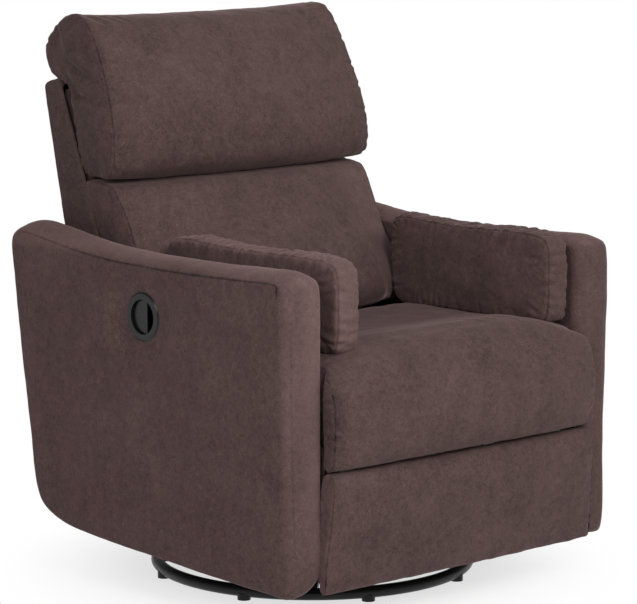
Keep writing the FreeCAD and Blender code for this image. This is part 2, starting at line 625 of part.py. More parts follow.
def footrest():
    p0 = DRIVE_PIVOT
    p1 = KNEE_PIVOT
    p2 = BRACKET_PIVOT
    g = (p0[0] + FOLLOWER_OFFSET[0], p0[1] + FOLLOWER_OFFSET[1])
    p1r = (p1[0] + FOLLOWER_OFFSET[0], p1[1] + FOLLOWER_OFFSET[1])
    length = math.hypot(p0[0] - p1[0], p0[1] - p1[1])
    w = ((p0[0] - p1[0]) * TOGGLE_OFFSET / length, (p0[1] - p1[1]) * TOGGLE_OFFSET / length)
    q1 = (p1[0] + w[0], p1[1] + w[1])
    q2 = (p2[0] + w[0], p2[1] + w[1])
    hole = PIVOT_R + RUNNING_FIT
    open_hole = PIVOT_R + OPEN_PIVOT_GAP

    drive = slot_link(p0, p1, LINK_W, DRIVE_X, LINK_PLATE, hole, hole)
    drive = drive.cut(cyl_x(hole, DRIVE_X - 1, DRIVE_X + LINK_PLATE + 1, q1[0], q1[1]))
    save("drive_links", both(drive))
    wide = DRIVE_TUBE / 2
    tube = box(-DRIVE_X, DRIVE_X, p0[0] - wide, p0[0] + wide, p0[1] - wide, p0[1] + wide)
    tube = tube.makeFillet(TUBE_EDGE_R, [e for e in tube.Edges if abs(e.tangentAt(e.FirstParameter).x) > 0.9])
    hollow = wide - DRIVE_TUBE_WALL
    bore = box(-DRIVE_X, DRIVE_X, p0[0] - hollow, p0[0] + hollow, p0[1] - hollow, p0[1] + hollow)
    head_room = RIVET_HEAD_R + TUBE_END_ROOM
    ends = [cyl_x(head_room, side * (DRIVE_X - RIVET_HEAD - SOFT_GAP), side * DRIVE_X, *p0) for side in (1, -1)]
    save("drive_tube", tube.cut([bore] + ends))

    follower = slot_link(g, p1r, LINK_W, DRIVE_X, LINK_PLATE, hole, open_hole)
    save("follower_links", both(follower))

    carrier = slot_link(p1r, p2, LINK_W - 2, CARRIER_X, LINK_PLATE, hole, hole)
    carrier = carrier.cut(cyl_x(hole, CARRIER_X - 1, CARRIER_X + LINK_PLATE + 1, p1[0], p1[1]))
    save("carrier_links", both(carrier))

    toggle = slot_link(q1, q2, TOGGLE_W, CARRIER_X, LINK_PLATE, hole, open_hole)
    save("toggle_links", both(toggle))

    seat_rivets = []
    for pivot in (p0, g):
        seat_rivets += both(rivet(DRIVE_X - RUNNING_FIT, SEAT_RAIL_X - RIVET_HEAD, pivot, head_r=LINK_HEAD_R))
    save("linkage_rivets", seat_rivets)
    knee = []
    for pivot in (p1, q1):
        knee += both(rivet(CARRIER_X - RUNNING_FIT, DRIVE_X + LINK_PLATE, pivot, head_r=KNEE_HEAD_R))
    save("knee_rivets", knee)
    carrier_rivets = []
    for pivot in (p1r, p2):
        carrier_rivets += both(rivet(CARRIER_X, DRIVE_X + LINK_PLATE + RUNNING_FIT, pivot, head_r=KNEE_HEAD_R))
    save("carrier_rivets", carrier_rivets)
    save("toggle_rivets", both(rivet(CARRIER_X - RUNNING_FIT, DRIVE_X + LINK_PLATE, q2, head_r=TOGGLE_HEAD_R)))

    back_of_board = FOOT_BOARD_Y + FOOT_BOARD_THICK
    board = box(-FOOT_BOARD_HALF, FOOT_BOARD_HALF, FOOT_BOARD_Y, back_of_board, FOOT_BOARD_BOTTOM, FOOT_BOARD_TOP)
    corners = [e for e in board.Edges if abs(e.tangentAt(e.FirstParameter).y) > 0.9]
    save("footrest_board", board.makeFillet(FOOT_BOARD_CORNER, corners))
    outline = [
        (back_of_board, FOOT_BOARD_TOP - BRACKET_HEIGHT), (back_of_board + 6, FOOT_BOARD_TOP - BRACKET_HEIGHT),
        (p2[0] + 10, p2[1] - 8), (p2[0] + 10, p2[1] + 6), (q2[0] + 9, q2[1] + 4), (q2[0] + 4, q2[1] + 8),
        (q2[0] - 7, q2[1] + 7), (q2[0] - 8, q2[1] - 6), (back_of_board, FOOT_BOARD_TOP + SOFT_GAP),
    ]
    bracket = plate_yz(outline, DRIVE_X, LINK_PLATE)
    flange = box(DRIVE_X, FOOT_BOARD_HALF - 2, back_of_board, back_of_board + BRACKET_FLANGE,
                 FOOT_BOARD_TOP - BRACKET_HEIGHT, FOOT_BOARD_TOP - BRACKET_MARGIN)
    bracket = bracket.fuse(flange)
    bracket = bracket.cut([cyl_x(hole, DRIVE_X - 1, DRIVE_X + LINK_PLATE + 1, p[0], p[1]) for p in (p2, q2)])
    save("footrest_brackets", both(bracket))
    footrest_pad()


def footrest_pad():
    """The footrest's upholstered front: wider and tucked back towards its foot, crowned in the middle."""
    wires = []
    height = FOOT_PAD_TOP - FOOT_PAD_BOTTOM
    for share, draw_in in ((0.0, 14.0), (0.06, 4.0), (0.2, 0.0), (0.5, -3.0), (0.8, 0.0), (0.94, 4.0), (1.0, 14.0)):
        z = FOOT_PAD_BOTTOM + share * height
        spread = FOOT_PAD_BOTTOM_SPREAD + (FOOT_PAD_TOP_SPREAD - FOOT_PAD_BOTTOM_SPREAD) * share
        half = ARM_INNER + spread - draw_in * 0.4
        front = FOOT_PAD_FRONT + FOOT_PAD_TUCK * (1 - share) + draw_in
        edge = FOOT_PAD_EDGE
        points = [
            (-half, FOOT_PAD_BACK, 0.0), (-half, front + edge, 4.0), (-half + edge, front, 6.0),
            (half - edge, front, 4.0), (half, front + edge, 0.0), (half, FOOT_PAD_BACK, 0.0),
        ]
        wires.append(wire_xy(points, z))
    save("footrest_pad", loft(wires))


def plane_y(z):
    """The Y of the plane between the back's frame and its cushions."""
    return BACK_PLANE_Y + (z - BACK_PLANE_Z) * math.tan(BACK_SLOPE)


def shell_y(z):
    """The Y of the back's outer face."""
    return SHELL_REAR_Y + (z - SHELL_REAR_Z) * math.tan(SHELL_SLOPE)


def back_frame():
    def bar(x0, x1, z0, z1, v0, v1):
        """A bar behind the cushion plane, between depths v0 and v1, cut level at z0 and z1."""
        points = [(plane_y(z0) + v0, z0), (plane_y(z0) + v1, z0), (plane_y(z1) + v1, z1), (plane_y(z1) + v0, z1)]
        return plate_yz(points, x0, x1 - x0)

    depth = STILE_DEPTH / math.cos(BACK_SLOPE)
    stile = bar(STILE_X, STILE_X + STILE_W, STILE_BOTTOM, STILE_TOP, SOFT_GAP, depth)
    for name, side in SIDES:
        save("back_stile_" + name, sided(stile, side))
    for name, z in (("top", STILE_TOP - BACK_RAIL_H), ("middle", BACK_RAIL_MIDDLE_Z), ("bottom", BACK_RAIL_LOW_Z)):
        save("back_rail_" + name, bar(-STILE_X, STILE_X, z, z + BACK_RAIL_H, SOFT_GAP, depth))
    springs = []
    for i in range(BACK_SPRING_COUNT):
        spring = sinuous_spring(2 * STILE_X + STILE_W, SPRING_LOOPS, BACK_SPRING_W, BACK_SPRING_WIRE)
        spring.rotate(V(0, 0, 0), Z_AXIS, -90)
        spring.rotate(V(0, 0, 0), X_AXIS, 90 - math.degrees(BACK_SLOPE))
        z = BACK_SPRING_Z + i * BACK_SPRING_PITCH + (BACK_SPRING_SKIP if i > 1 else 0)
        spring.translate(V(-STILE_X - STILE_W / 2, plane_y(z) + depth + BACK_SPRING_WIRE + SOFT_GAP, z))
        springs.append(spring)
    save("back_springs", springs)
    top = STILE_BOTTOM + BRACKET_TOP_RISE
    outline = [
        (BACK_PIVOT[0] - 16, BACK_PIVOT[1] + 6), (BACK_PIVOT[0] - 10, BACK_PIVOT[1] - 14),
        (BACK_PIVOT[0] + 12, BACK_PIVOT[1] - 14), (BACK_PIVOT[0] + 18, BACK_PIVOT[1] + 4),
        (plane_y(top) + depth, top), (plane_y(top) + 1, top), (plane_y(STILE_BOTTOM + 18) + 1, STILE_BOTTOM + 18),
    ]
    bracket = plate_yz(outline, BACK_PLATE_X, LINK_PLATE)
    hole = cyl_x(BACK_BOLT_R + RUNNING_FIT, BACK_PLATE_X - 1, BACK_PLATE_X + LINK_PLATE + 1, *BACK_PIVOT)
    bracket = bracket.cut(hole)
    for name, side in SIDES:
        save("back_bracket_" + name, sided(bracket, side))
    bolt = rivet(BACK_PLATE_X - RUNNING_FIT, SEAT_RAIL_X - RIVET_HEAD, BACK_PIVOT, BACK_BOLT_R, BACK_BOLT_HEAD_R)
    save("back_pivot_bolts", both(bolt))


def back_shell():
    """The upholstered outer back: a tray that holds the frame, with its rear panel running on below."""
    def tray(half, wall, z0, z1, front):
        points = [
            (plane_y(z0) + front, z0), (shell_y(z0) - wall, z0), (shell_y(z1) - wall, z1), (plane_y(z1) + front, z1),
        ]
        return plate_yz(points, -half, 2 * half)

    outer = tray(SHELL_HALF, 0, SHELL_SIDE_BOTTOM, SHELL_TOP, SOFT_GAP)
    edges = []
    for edge in outer.Edges:
        centre = edge.CenterOfMass
        on_rear = centre.y > shell_y(centre.z) - 0.5
        if on_rear and centre.z > SHELL_SIDE_BOTTOM + 1:
            edges.append(edge)
    outer = outer.makeFillet(SHELL_EDGE_R, edges)
    inner = tray(SHELL_HALF - SHELL_WALL, SHELL_WALL, SHELL_SIDE_BOTTOM - 1, SHELL_TOP - SHELL_WALL, -20)
    join = SHELL_SIDE_BOTTOM + 2
    low = [
        (shell_y(SHELL_BOTTOM) - SHELL_WALL, SHELL_BOTTOM), (shell_y(SHELL_BOTTOM), SHELL_BOTTOM),
        (shell_y(join), join), (shell_y(join) - SHELL_WALL, join),
    ]
    panel_half = SHELL_HALF - SHELL_PANEL_MARGIN
    panel = plate_yz(low, -panel_half, 2 * panel_half)
    save("back_shell", outer.cut(inner).fuse(panel).removeSplitter())


def seat_profile(front, crest, top, sag):
    """The seat's side view: it lies on the springs, and its front roll hangs before the front rail."""
    rail = FRONT_RAIL_Y - SOFT_GAP
    under = SEAT_PLATFORM + SEAT_UNDERSIDE
    return [
        (rail, under, 0.0), (rail, ROLL_BOTTOM + 24, 0.0), (front + 40, ROLL_BOTTOM, 0.0),
        (front + 20, ROLL_BOTTOM + 2, 6 - sag), (front, ROLL_MIDDLE_Z, 6 - sag), (front + 15, crest - 42, 8 - sag),
        (front + 78, crest, 5 - sag), (front + 178, crest - 11 + 3 * sag, 0.0), (front + 248, top + 3 - sag, 0.0),
        (SEAT_REAR_Y - 96, top, 0.0), (SEAT_REAR_Y - 16, top - 18, 4 - sag / 3),
        (SEAT_REAR_Y, SEAT_PLATFORM + 26, 0.0), (SEAT_REAR_Y - 4, under, 0.0),
    ]


def seat_cushion():
    centre = seat_profile(ROLL_FRONT, ROLL_CREST, SEAT_TOP, 0.0)
    side = seat_profile(ROLL_FRONT + ROLL_SIDE_DRAW, ROLL_SIDE_CREST, SEAT_SIDE_TOP, 3.0)
    stations = [(0.0, 0.0), (0.35, 0.14), (0.65, 0.5), (0.82, 0.76), (0.94, 0.94), (1.0, 1.0)]
    seat = crowned_across(centre, side, CUSHION_HALF, stations)
    rear = ROLL_FRONT + CHEEK_DEPTH
    inner = [
        (rear, ROLL_BOTTOM + 19, 0.0), (ROLL_FRONT + 30, ROLL_BOTTOM + 5, 3.0), (ROLL_FRONT + 13, ROLL_MIDDLE_Z, 4.0),
        (ROLL_FRONT + 28, ROLL_SIDE_CREST - 36, 4.0), (rear, ROLL_SIDE_CREST - 22, 0.0),
    ]
    outer = [
        (rear, ROLL_BOTTOM + 31, 0.0), (ROLL_FRONT + 38, ROLL_BOTTOM + 19, 2.0),
        (ROLL_FRONT + 28, ROLL_MIDDLE_Z, 2.0), (ROLL_FRONT + 38, ROLL_SIDE_CREST - 48, 2.0),
        (rear, ROLL_SIDE_CREST - 38, 0.0),
    ]
    full = ARM_INNER + CHEEK_SPREAD - 5
    wires = [wire_yz(inner, CUSHION_HALF - 8), wire_yz(inner, full), wire_yz(outer, ARM_INNER + CHEEK_SPREAD)]
    save("seat_cushion", seat.fuse(both(loft(wires))).removeSplitter())


def before_plane(bottom, height, depth, rows):
    """A back cushion's outline, from shares of its depth before the frame's plane, of its height, and bulges."""
    points = []
    for out, rise, bulge in rows:
        z = bottom + rise * height
        points.append((plane_y(z) - out * depth, z, bulge * depth))
    return points


def lumbar_cushion():
    centre = [
        (0, 0, 0), (0.77, 0.035, 0.042), (1.0, 0.115, 0.074), (0.8, 0.545, 0.032), (0.66, 0.885, 0.042), (0.47, 1, 0),
        (0, 1, 0),
    ]
    side = [
        (0, 0.03, 0), (0.45, 0.055, 0.016), (0.53, 0.135, 0), (0.485, 0.57, 0), (0.45, 0.88, 0.016), (0.385, 0.985, 0),
        (0, 0.985, 0),
    ]
    stations = [(0.0, 0.0), (0.45, 0.1), (0.72, 0.35), (0.9, 0.72), (1.0, 1.0)]
    size = (LUMBAR_BOTTOM, LUMBAR_TOP - LUMBAR_BOTTOM, LUMBAR_DEPTH)
    cushion = crowned_across(before_plane(*size, centre), before_plane(*size, side), CUSHION_HALF, stations)
    save("lumbar_cushion", cushion)


def headrest_cushion():
    """It overhangs the outer back: its top rolls over to the rear, and its corners stand up as ears."""
    bottom = LUMBAR_TOP + HEADREST_GAP
    rest = (SHELL_TOP + HEADREST_GAP - bottom) / HEADREST_HEIGHT
    centre = [
        (0, 0, 0), (0.57, 0, 0.037), (0.9, 0.167, 0.05), (1.0, 0.543, 0.037), (0.84, 0.893, 0.05), (0.573, 0.973, 0.024),
        (0.16, 0.96, 0.073), (-0.27, 0.793, 0.037), (-0.22, rest, 0), (0, rest, 0),
    ]
    side = [
        (0, 0.013, 0), (0.494, 0.013, 0.018), (0.646, 0.167, 0.018), (0.66, 0.527, 0.018), (0.63, 0.913, 0.037),
        (0.567, 1, 0.018), (0.27, 0.973, 0.05), (-0.183, 0.807, 0.024), (-0.183, rest, 0), (0, rest, 0),
    ]
    stations = [(0.0, 0.0), (0.45, 0.06), (0.75, 0.25), (0.92, 0.65), (1.0, 1.0)]
    size = (bottom, HEADREST_HEIGHT, HEADREST_DEPTH)
    cushion = crowned_across(before_plane(*size, centre), before_plane(*size, side), HEADREST_HALF, stations)
    save("headrest_cushion", cushion)


def pillow(name, centre_x, bottom):
    """A boxed bolster that stands on the seat against the arm, its faces crowned and its ends drawn in."""
    half_w = PILLOW_THICK / 2 - PILLOW_CROWN
    half_h = PILLOW_HEIGHT / 2 - PILLOW_TOP_CROWN
    middle = bottom + PILLOW_HEIGHT / 2
    wires = []
    for share, size in ((0.0, 0.80), (0.05, 0.93), (0.2, 0.99), (0.5, 1.0), (0.8, 0.99), (0.95, 0.93), (1.0, 0.80)):
        y = PILLOW_FRONT + share * PILLOW_LENGTH
        w = half_w * size
        h = half_h * (0.5 + size / 2)
        side = PILLOW_CROWN * size
        top = PILLOW_TOP_CROWN * size
        places = [V(centre_x - w, y, middle - h), V(centre_x + w, y, middle - h),
                  V(centre_x + w, y, middle + h), V(centre_x - w, y, middle + h)]
        outs = [V(0, 0, -top), V(side, 0, 0), V(0, 0, top), V(-side, 0, 0)]
        edges = []
        for i in range(4):
            p = places[i]
            q = places[(i + 1) % 4]
            edges.append(Part.Arc(p, (p + q) * 0.5 + outs[i], q).toShape())
        wires.append(Part.Wire(edges))
    save(name, loft(wires))


def pillows():
    left_x = ARM_INNER - LEFT_PILLOW_GAP - PILLOW_THICK / 2
    right_x = ARM_INNER - RIGHT_PILLOW_GAP - PILLOW_THICK / 2
    pillow("arm_pillow_left", left_x, LEFT_PILLOW_BOTTOM)
    pillow("arm_pillow_right", -right_x, RIGHT_PILLOW_BOTTOM)


def main():
    os.makedirs("parts", exist_ok=True)
    floor_ring()
    swivel()
    glide_carriage()
    chair_base()
    arms()
    release_cup()
    seat_box()
    footrest()
    back_frame()
    back_shell()
    seat_cushion()
    lumbar_cushion()
    headrest_cushion()
    pillows()


main()
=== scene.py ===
"""The looks of a swivel glider recliner: its upholstery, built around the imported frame, and its studio.

Lengths are in millimetres in the shape functions and become metres where a mesh is made.
"""

import json
import math

import bmesh
import bpy
import numpy as np
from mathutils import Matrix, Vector


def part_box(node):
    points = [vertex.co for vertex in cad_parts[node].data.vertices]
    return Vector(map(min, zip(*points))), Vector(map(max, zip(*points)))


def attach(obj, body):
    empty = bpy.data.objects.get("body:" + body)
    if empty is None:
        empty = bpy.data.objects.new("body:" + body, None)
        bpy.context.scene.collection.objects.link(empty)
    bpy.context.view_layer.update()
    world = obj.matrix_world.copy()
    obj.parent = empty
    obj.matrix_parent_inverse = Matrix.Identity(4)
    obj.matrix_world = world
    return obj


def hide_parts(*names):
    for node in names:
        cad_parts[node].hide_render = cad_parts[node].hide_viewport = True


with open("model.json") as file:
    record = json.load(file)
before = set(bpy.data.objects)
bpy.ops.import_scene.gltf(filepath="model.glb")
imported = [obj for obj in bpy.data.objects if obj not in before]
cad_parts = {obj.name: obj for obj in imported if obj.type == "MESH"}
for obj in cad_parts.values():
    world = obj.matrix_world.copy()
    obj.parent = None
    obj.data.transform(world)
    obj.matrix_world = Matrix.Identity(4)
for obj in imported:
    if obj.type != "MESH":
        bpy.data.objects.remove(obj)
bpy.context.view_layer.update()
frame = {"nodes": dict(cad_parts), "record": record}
MM = 0.001

# Camera, solved from the floor ring and the arms in the photograph
CAMERA_PLACE = (-3.834, -4.179, 1.370)
CAMERA_AZIMUTH = -42.645
CAMERA_DOWN = 8.776
CAMERA_LENS = 176.5
SENSOR_WIDTH = 36.0

# The upholstery's colours before their mottling, its sheen, and the hard materials' colours
SUEDE = (0.084, 0.0515, 0.0485)
SUEDE_BACK = (0.066, 0.041, 0.038)
SHEEN_TINT = (1.0, 0.72, 0.70)
BLACK = (0.012, 0.012, 0.012)
MOULDING_BLACK = (0.006, 0.007, 0.006)
ZINC = (0.50, 0.51, 0.53)
SPRING_GREY = (0.20, 0.20, 0.21)
PINE = (0.55, 0.38, 0.22)

# How much the painted light and shade lightens or darkens the suede, and how much the painted shade along a
# seam darkens it
PAINTED_LIGHT_GAIN = 0.58
SEAM_SHADE = 0.75

# The values that a noise texture mostly stays between
NOISE_LOW = 0.3
NOISE_HIGH = 0.7

# The studio: level of the plain light, and each lamp's name, place, size and watts
PLAIN_LIGHT = 0.28
LAMPS = (
    ("key", (-0.9, -3.0, 2.5), 1.6, 62),
    ("side", (-3.0, -1.2, 2.2), 1.8, 30),
    ("right", (2.8, -1.5, 2.3), 1.2, 22),
    ("top", (0.3, -0.6, 3.2), 2.2, 10),
)
LAMP_TARGET = (0, 0, 0.5)

# The floor, which fades to plain white: its own grey, the distances from the swivel's axis that the fade
# runs between, in metres, and the share of white where it begins
FLOOR_GREY = 0.92
FADE_NEAR = 0.22
FADE_FAR = 0.62
FADE_LEAST = 0.68

# The plane that the back's cushions lie on: a point of it, and its slope
BACK_PLANE_Y = 238.0
BACK_PLANE_Z = 620.0
BACK_SLOPE = math.tan(math.radians(22.1))

# Distances between the points of a form before it is refined, for a large one and for a small one
COARSE = 12.0
FINE = 9.0

# How many waves make up the soft noise
WAVE_COUNT = 14

# How an end closes: each ring's share of the one at the end's rim
SOFT_END = (0.9, 0.75, 0.55, 0.35, 0.15)
SEAT_END = (0.92, 0.78, 0.6, 0.4, 0.2)
PILLOW_END = (0.95, 0.88, 0.78, 0.66, 0.52, 0.38, 0.24, 0.1)
FLAT_END = (0.9, 0.6, 0.3)
ARM_END = (0.993, 0.982, 0.965, 0.93) + tuple(np.linspace(0.88, 0.04, 22))

# The cloth step: its length in frames, and how far padding may sink or slide in it
SIM_FRAMES = 20
SINK_CAP = 1.0
SLIDE_CAP = 3.0

# How much fuller the arms' outer panels are near the top
PANEL_FULLNESS = 9.0

# Distances from the cup's middle: the panel's fullness grows between the first two, and what stands in front
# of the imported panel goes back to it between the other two
CUP_FLAT = (48.0, 110.0)
CUP_CLEAR = (100.0, 52.0)

# The hole for the cup in the arm's outer face
CUP_HOLE_RADIUS = 36.0
CUP_HOLE_DEPTH = 60.0


def corners(node):
    """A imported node's lowest and highest corner, in millimetres."""
    low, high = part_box(node)
    return np.array(low) / MM, np.array(high) / MM


# Sizes read from the frame
ARM_LOW, ARM_HIGH = corners("arm_cover_left")
PAD_LOW, PAD_HIGH = corners("footrest_pad")
LUMBAR_BOTTOM = corners("lumbar_cushion")[0][2]
HEAD_BOTTOM = corners("headrest_cushion")[0][2]
SHELL_TOP = corners("back_shell")[1][2]
CUP_LOW, CUP_HIGH = corners("release_cup")
CUP_MIDDLE = 0.5 * (CUP_LOW + CUP_HIGH)


def plane_y(z):
    """The plane between the back's frame and its cushions."""
    return BACK_PLANE_Y + (z - BACK_PLANE_Z) * BACK_SLOPE


def smoothstep(low, high, value):
    t = np.clip((value - low) / (high - low), 0.0, 1.0)
    return t * t * (3 - 2 * t)


def waves(points, length, seed):
    """Soft noise from -1 to 1 at points in millimetres, whose bumps are about length apart."""
    rng = np.random.default_rng(seed)
    total = np.zeros(len(points))
    for _ in range(WAVE_COUNT):
        direction = rng.normal(size=3)
        direction /= np.linalg.norm(direction)
        pitch = length * rng.uniform(0.7, 1.5)
        total += np.sin(points @ direction * (2 * math.pi / pitch) + rng.uniform(0, 2 * math.pi))
    return total / math.sqrt(WAVE_COUNT) / 1.4


def steps_for(points, pitch):
    """How many steps follow each point of a closed outline, at about that pitch."""
    p = np.array(points, float)
    lengths = np.linalg.norm(np.roll(p, -1, axis=0) - p, axis=1)
    return np.maximum(1, np.round(lengths / pitch)).astype(int)


def smooth_outline(points, steps):
    """A closed smooth curve through the points, with the given steps after each."""
    p = np.array(points, float)
    n = len(p)
    out = []
    for i in range(n):
        p0, p1, p2, p3 = p[i - 1], p[i], p[(i + 1) % n], p[(i + 2) % n]
        t01, t12, t23 = [math.sqrt(np.linalg.norm(b - a)) for a, b in ((p0, p1), (p1, p2), (p2, p3))]
        m1 = p2 - p1 + t12 * ((p1 - p0) / t01 - (p2 - p0) / (t01 + t12))
        m2 = p2 - p1 + t12 * ((p3 - p2) / t23 - (p3 - p1) / (t12 + t23))
        squared = 3 * (p2 - p1) - 2 * m1 - m2
        cubed = 2 * (p1 - p2) + m1 + m2
        for u in np.arange(steps[i]) / steps[i]:
            out.append(p1 + m1 * u + squared * u ** 2 + cubed * u ** 3)
    return np.array(out)


def ring_at(x, outline):
    """An outline of (y, z) as a ring of points at one x."""
    return np.column_stack([np.full(len(outline), x), outline])


def end_rings(ring, centre, bulge, shares):
    """Rings that close an end, drawn towards a centre (y, z) and standing out by bulge in the middle."""
    middle = np.array([0.0, *centre])
    found = []
    for share in shares:
        inner = ring.copy()
        inner[:, 1:] = middle[1:] + (ring[:, 1:] - middle[1:]) * share
        inner[:, 0] = ring[:, 0] + bulge * (1 - share ** 2)
        found.append(inner)
    pole = np.array([[ring[:, 0].mean() + bulge, *centre]])
    return found, pole


def fill_mesh(mesh, rings, poles):
    """Makes the mesh of quads between rings of points, with a pole at each end, all in millimetres."""
    count = len(rings[0])
    points = np.vstack(list(rings) + list(poles)) * MM
    here = np.arange(count)
    after = (here + 1) % count
    faces = []
    for r in range(len(rings) - 1):
        near, far = r * count, (r + 1) * count
        faces.extend(np.column_stack([near + here, near + after, far + after, far + here]).tolist())
    first = len(rings) * count
    last = (len(rings) - 1) * count
    faces.extend(np.column_stack([np.full(count, first), after, here]).tolist())
    faces.extend(np.column_stack([np.full(count, first + 1), last + here, last + after]).tolist())
    mesh.clear_geometry()
    mesh.from_pydata(points.tolist(), [], faces)
    shape = bmesh.new()
    shape.from_mesh(mesh)
    bmesh.ops.recalc_face_normals(shape, faces=shape.faces)
    shape.to_mesh(mesh)
    shape.free()


def closed_mesh(name, rings, poles):
    """A closed piece lofted through rings of points, which remembers how many rings it has."""
    piece = bpy.data.objects.new(name, bpy.data.meshes.new(name))
    fill_mesh(piece.data, rings, poles)
    piece["rings"] = len(rings)
    bpy.context.scene.collection.objects.link(piece)
    return piece


def doubled(grid, closed):
    """A grid of points with twice as many rows, as a cubic B-spline smooths them."""
    if closed:
        before, after = np.roll(grid, 1, axis=0), np.roll(grid, -1, axis=0)
        kept = (before + 6 * grid + after) / 8
        between = (grid + after) / 2
        return np.stack([kept, between], axis=1).reshape(-1, *grid.shape[1:])
    kept = grid.copy()
    kept[1:-1] = (grid[:-2] + 6 * grid[1:-1] + grid[2:]) / 8
    between = (grid[:-1] + grid[1:]) / 2
    woven = np.empty((2 * len(grid) - 1, *grid.shape[1:]))
    woven[0::2] = kept
    woven[1::2] = between
    return woven


def refine(piece, levels):
    """Divides a lofted piece finer, as a subdivision surface would."""
    points = points_of(piece)
    rows = piece["rings"]
    grid = points[:-2].reshape(rows, -1, 3)
    count = grid.shape[1]
    grid = np.concatenate([np.tile(points[-2], (1, count, 1)), grid, np.tile(points[-1], (1, count, 1))])
    for _ in range(levels):
        grid = doubled(grid, False)
        grid = doubled(grid.swapaxes(0, 1), True).swapaxes(0, 1)
    fill_mesh(piece.data, grid[1:-1], (grid[0, :1], grid[-1, :1]))
    piece["rings"] = len(grid) - 2


def capped(name, rings, centre, bulges, shares):
    """A closed piece through the rings, with both ends drawn to a centre (y, z) by the shares."""
    start, start_pole = end_rings(rings[0], centre, bulges[0], shares)
    finish, finish_pole = end_rings(rings[-1], centre, bulges[1], shares)
    return closed_mesh(name, start[::-1] + rings + finish, (start_pole, finish_pole))


def end_seams(rings, shares):
    """The points that the seams round both ends follow, in a piece that was capped by the shares."""
    count = len(rings[0])
    first = len(shares)
    last = first + len(rings) - 1
    return [np.arange(row * count, (row + 1) * count) for row in (first, last)]


def clustered(half, seam_room):
    """Places across X from -half to half, closer together near both ends."""
    inner = half - seam_room
    count = max(2, int(round(2 * inner / COARSE)))
    middle = np.linspace(-inner, inner, count + 1)
    edge = half - seam_room * np.array([0.62, 0.34, 0.14, 0.0])
    return np.concatenate([-edge[::-1], middle, edge])


def mixed(centre, side, share):
    return np.array(centre, float) * (1 - share) + np.array(side, float) * share


def cushion(name, centre, side, reach, power, half, middle, bulge, shares, seam_room=30.0, pitch=COARSE):
    """A closed cushion lofted across X from -half to half, and the points that its two end seams follow.

    Its outline turns from the centre's to the side's by a power of x's share of reach, and its ends close
    round a middle (y, z) that stands out by bulge.
    """
    steps = steps_for(centre, pitch)
    rings = []
    for x in clustered(half, seam_room):
        share = min(1.0, abs(x) / reach)
        rings.append(ring_at(x, smooth_outline(mixed(centre, side, share ** power), steps)))
    return capped(name, rings, middle, (-bulge, bulge), shares), end_seams(rings, shares)


def points_of(piece):
    co = np.empty(len(piece.data.vertices) * 3)
    piece.data.vertices.foreach_get("co", co)
    return co.reshape(-1, 3) / MM


def set_points(piece, points):
    piece.data.vertices.foreach_set("co", (points * MM).ravel())
    piece.data.update()


def normals_of(piece):
    no = np.empty(len(piece.data.vertices) * 3)
    piece.data.vertices.foreach_get("normal", no)
    return no.reshape(-1, 3)


def paint(piece, name, values):
    """Writes one number per point, which the material reads by that name."""
    attribute = piece.data.attributes.get(name) or piece.data.attributes.new(name, "FLOAT", "POINT")
    attribute.data.foreach_set("value", values.astype(np.float32))


def shade_smooth(piece):
    for polygon in piece.data.polygons:
        polygon.use_smooth = True


def apply_modifiers(piece):
    """Makes the piece's modifiers part of its mesh."""
    graph = bpy.context.evaluated_depsgraph_get()
    mesh = bpy.data.meshes.new_from_object(piece.evaluated_get(graph))
    piece.modifiers.clear()
    old = piece.data
    piece.data = mesh
    mesh.name = piece.name
    bpy.data.meshes.remove(old)


def inflate(piece, pinned, cap, shrink):
    """Pads a piece by a short cloth simulation, which swells it between its pinned points.

    It starts smaller by shrink, and no point ends further out than cap from where it was before that.
    """
    start = points_of(piece)
    outward = normals_of(piece)
    hold = np.zeros(len(start), bool)
    hold[pinned] = True
    small = start - outward * shrink * (~hold)[:, None]
    set_points(piece, small)
    group = piece.vertex_groups.new(name="held")
    group.add([int(i) for i in np.flatnonzero(hold)], 1.0, "REPLACE")
    cloth = piece.modifiers.new("cloth", "CLOTH")
    settings = cloth.settings
    settings.quality = 5
    settings.mass = 0.4
    settings.tension_stiffness = 12
    settings.compression_stiffness = 12
    settings.bending_stiffness = 0.8
    settings.use_pressure = True
    settings.uniform_pressure_force = 4.0
    settings.vertex_group_mass = group.name
    settings.effector_weights.gravity = 0.0
    cloth.point_cache.frame_start = 1
    cloth.point_cache.frame_end = SIM_FRAMES
    scene = bpy.context.scene
    for number in range(1, SIM_FRAMES + 1):
        scene.frame_set(number)
    apply_modifiers(piece)
    scene.frame_set(1)
    moved = points_of(piece) - start
    risen = (moved * outward).sum(1)
    slid = moved - risen[:, None] * outward
    far = np.linalg.norm(slid, axis=1)
    slid *= np.minimum(1.0, SLIDE_CAP / np.maximum(far, 1e-6))[:, None]
    set_points(piece, start + np.clip(risen, -SINK_CAP, cap)[:, None] * outward + slid)
    piece.vertex_groups.clear()


def along_line(points, line):
    """For each point, its distance to a polyline and how far along that line the nearest place is."""
    a = line[:-1]
    ab = line[1:] - a
    lengths = np.linalg.norm(ab, axis=1)
    starts = np.concatenate([[0.0], np.cumsum(lengths)[:-1]])
    distance = np.empty(len(points))
    place = np.empty(len(points))
    square = np.maximum((ab * ab).sum(1), 1e-9)
    batch = 4000
    for low in range(0, len(points), batch):
        part = slice(low, low + batch)
        p = points[part]
        rel = p[:, None, :] - a[None]
        t = np.clip((rel * ab[None]).sum(2) / square[None], 0, 1)
        d = np.linalg.norm(rel - t[..., None] * ab[None], axis=2)
        k = d.argmin(1)
        rows = np.arange(len(p))
        distance[part] = d[rows, k]
        place[part] = starts[k] + t[rows, k] * lengths[k]
    return distance, place


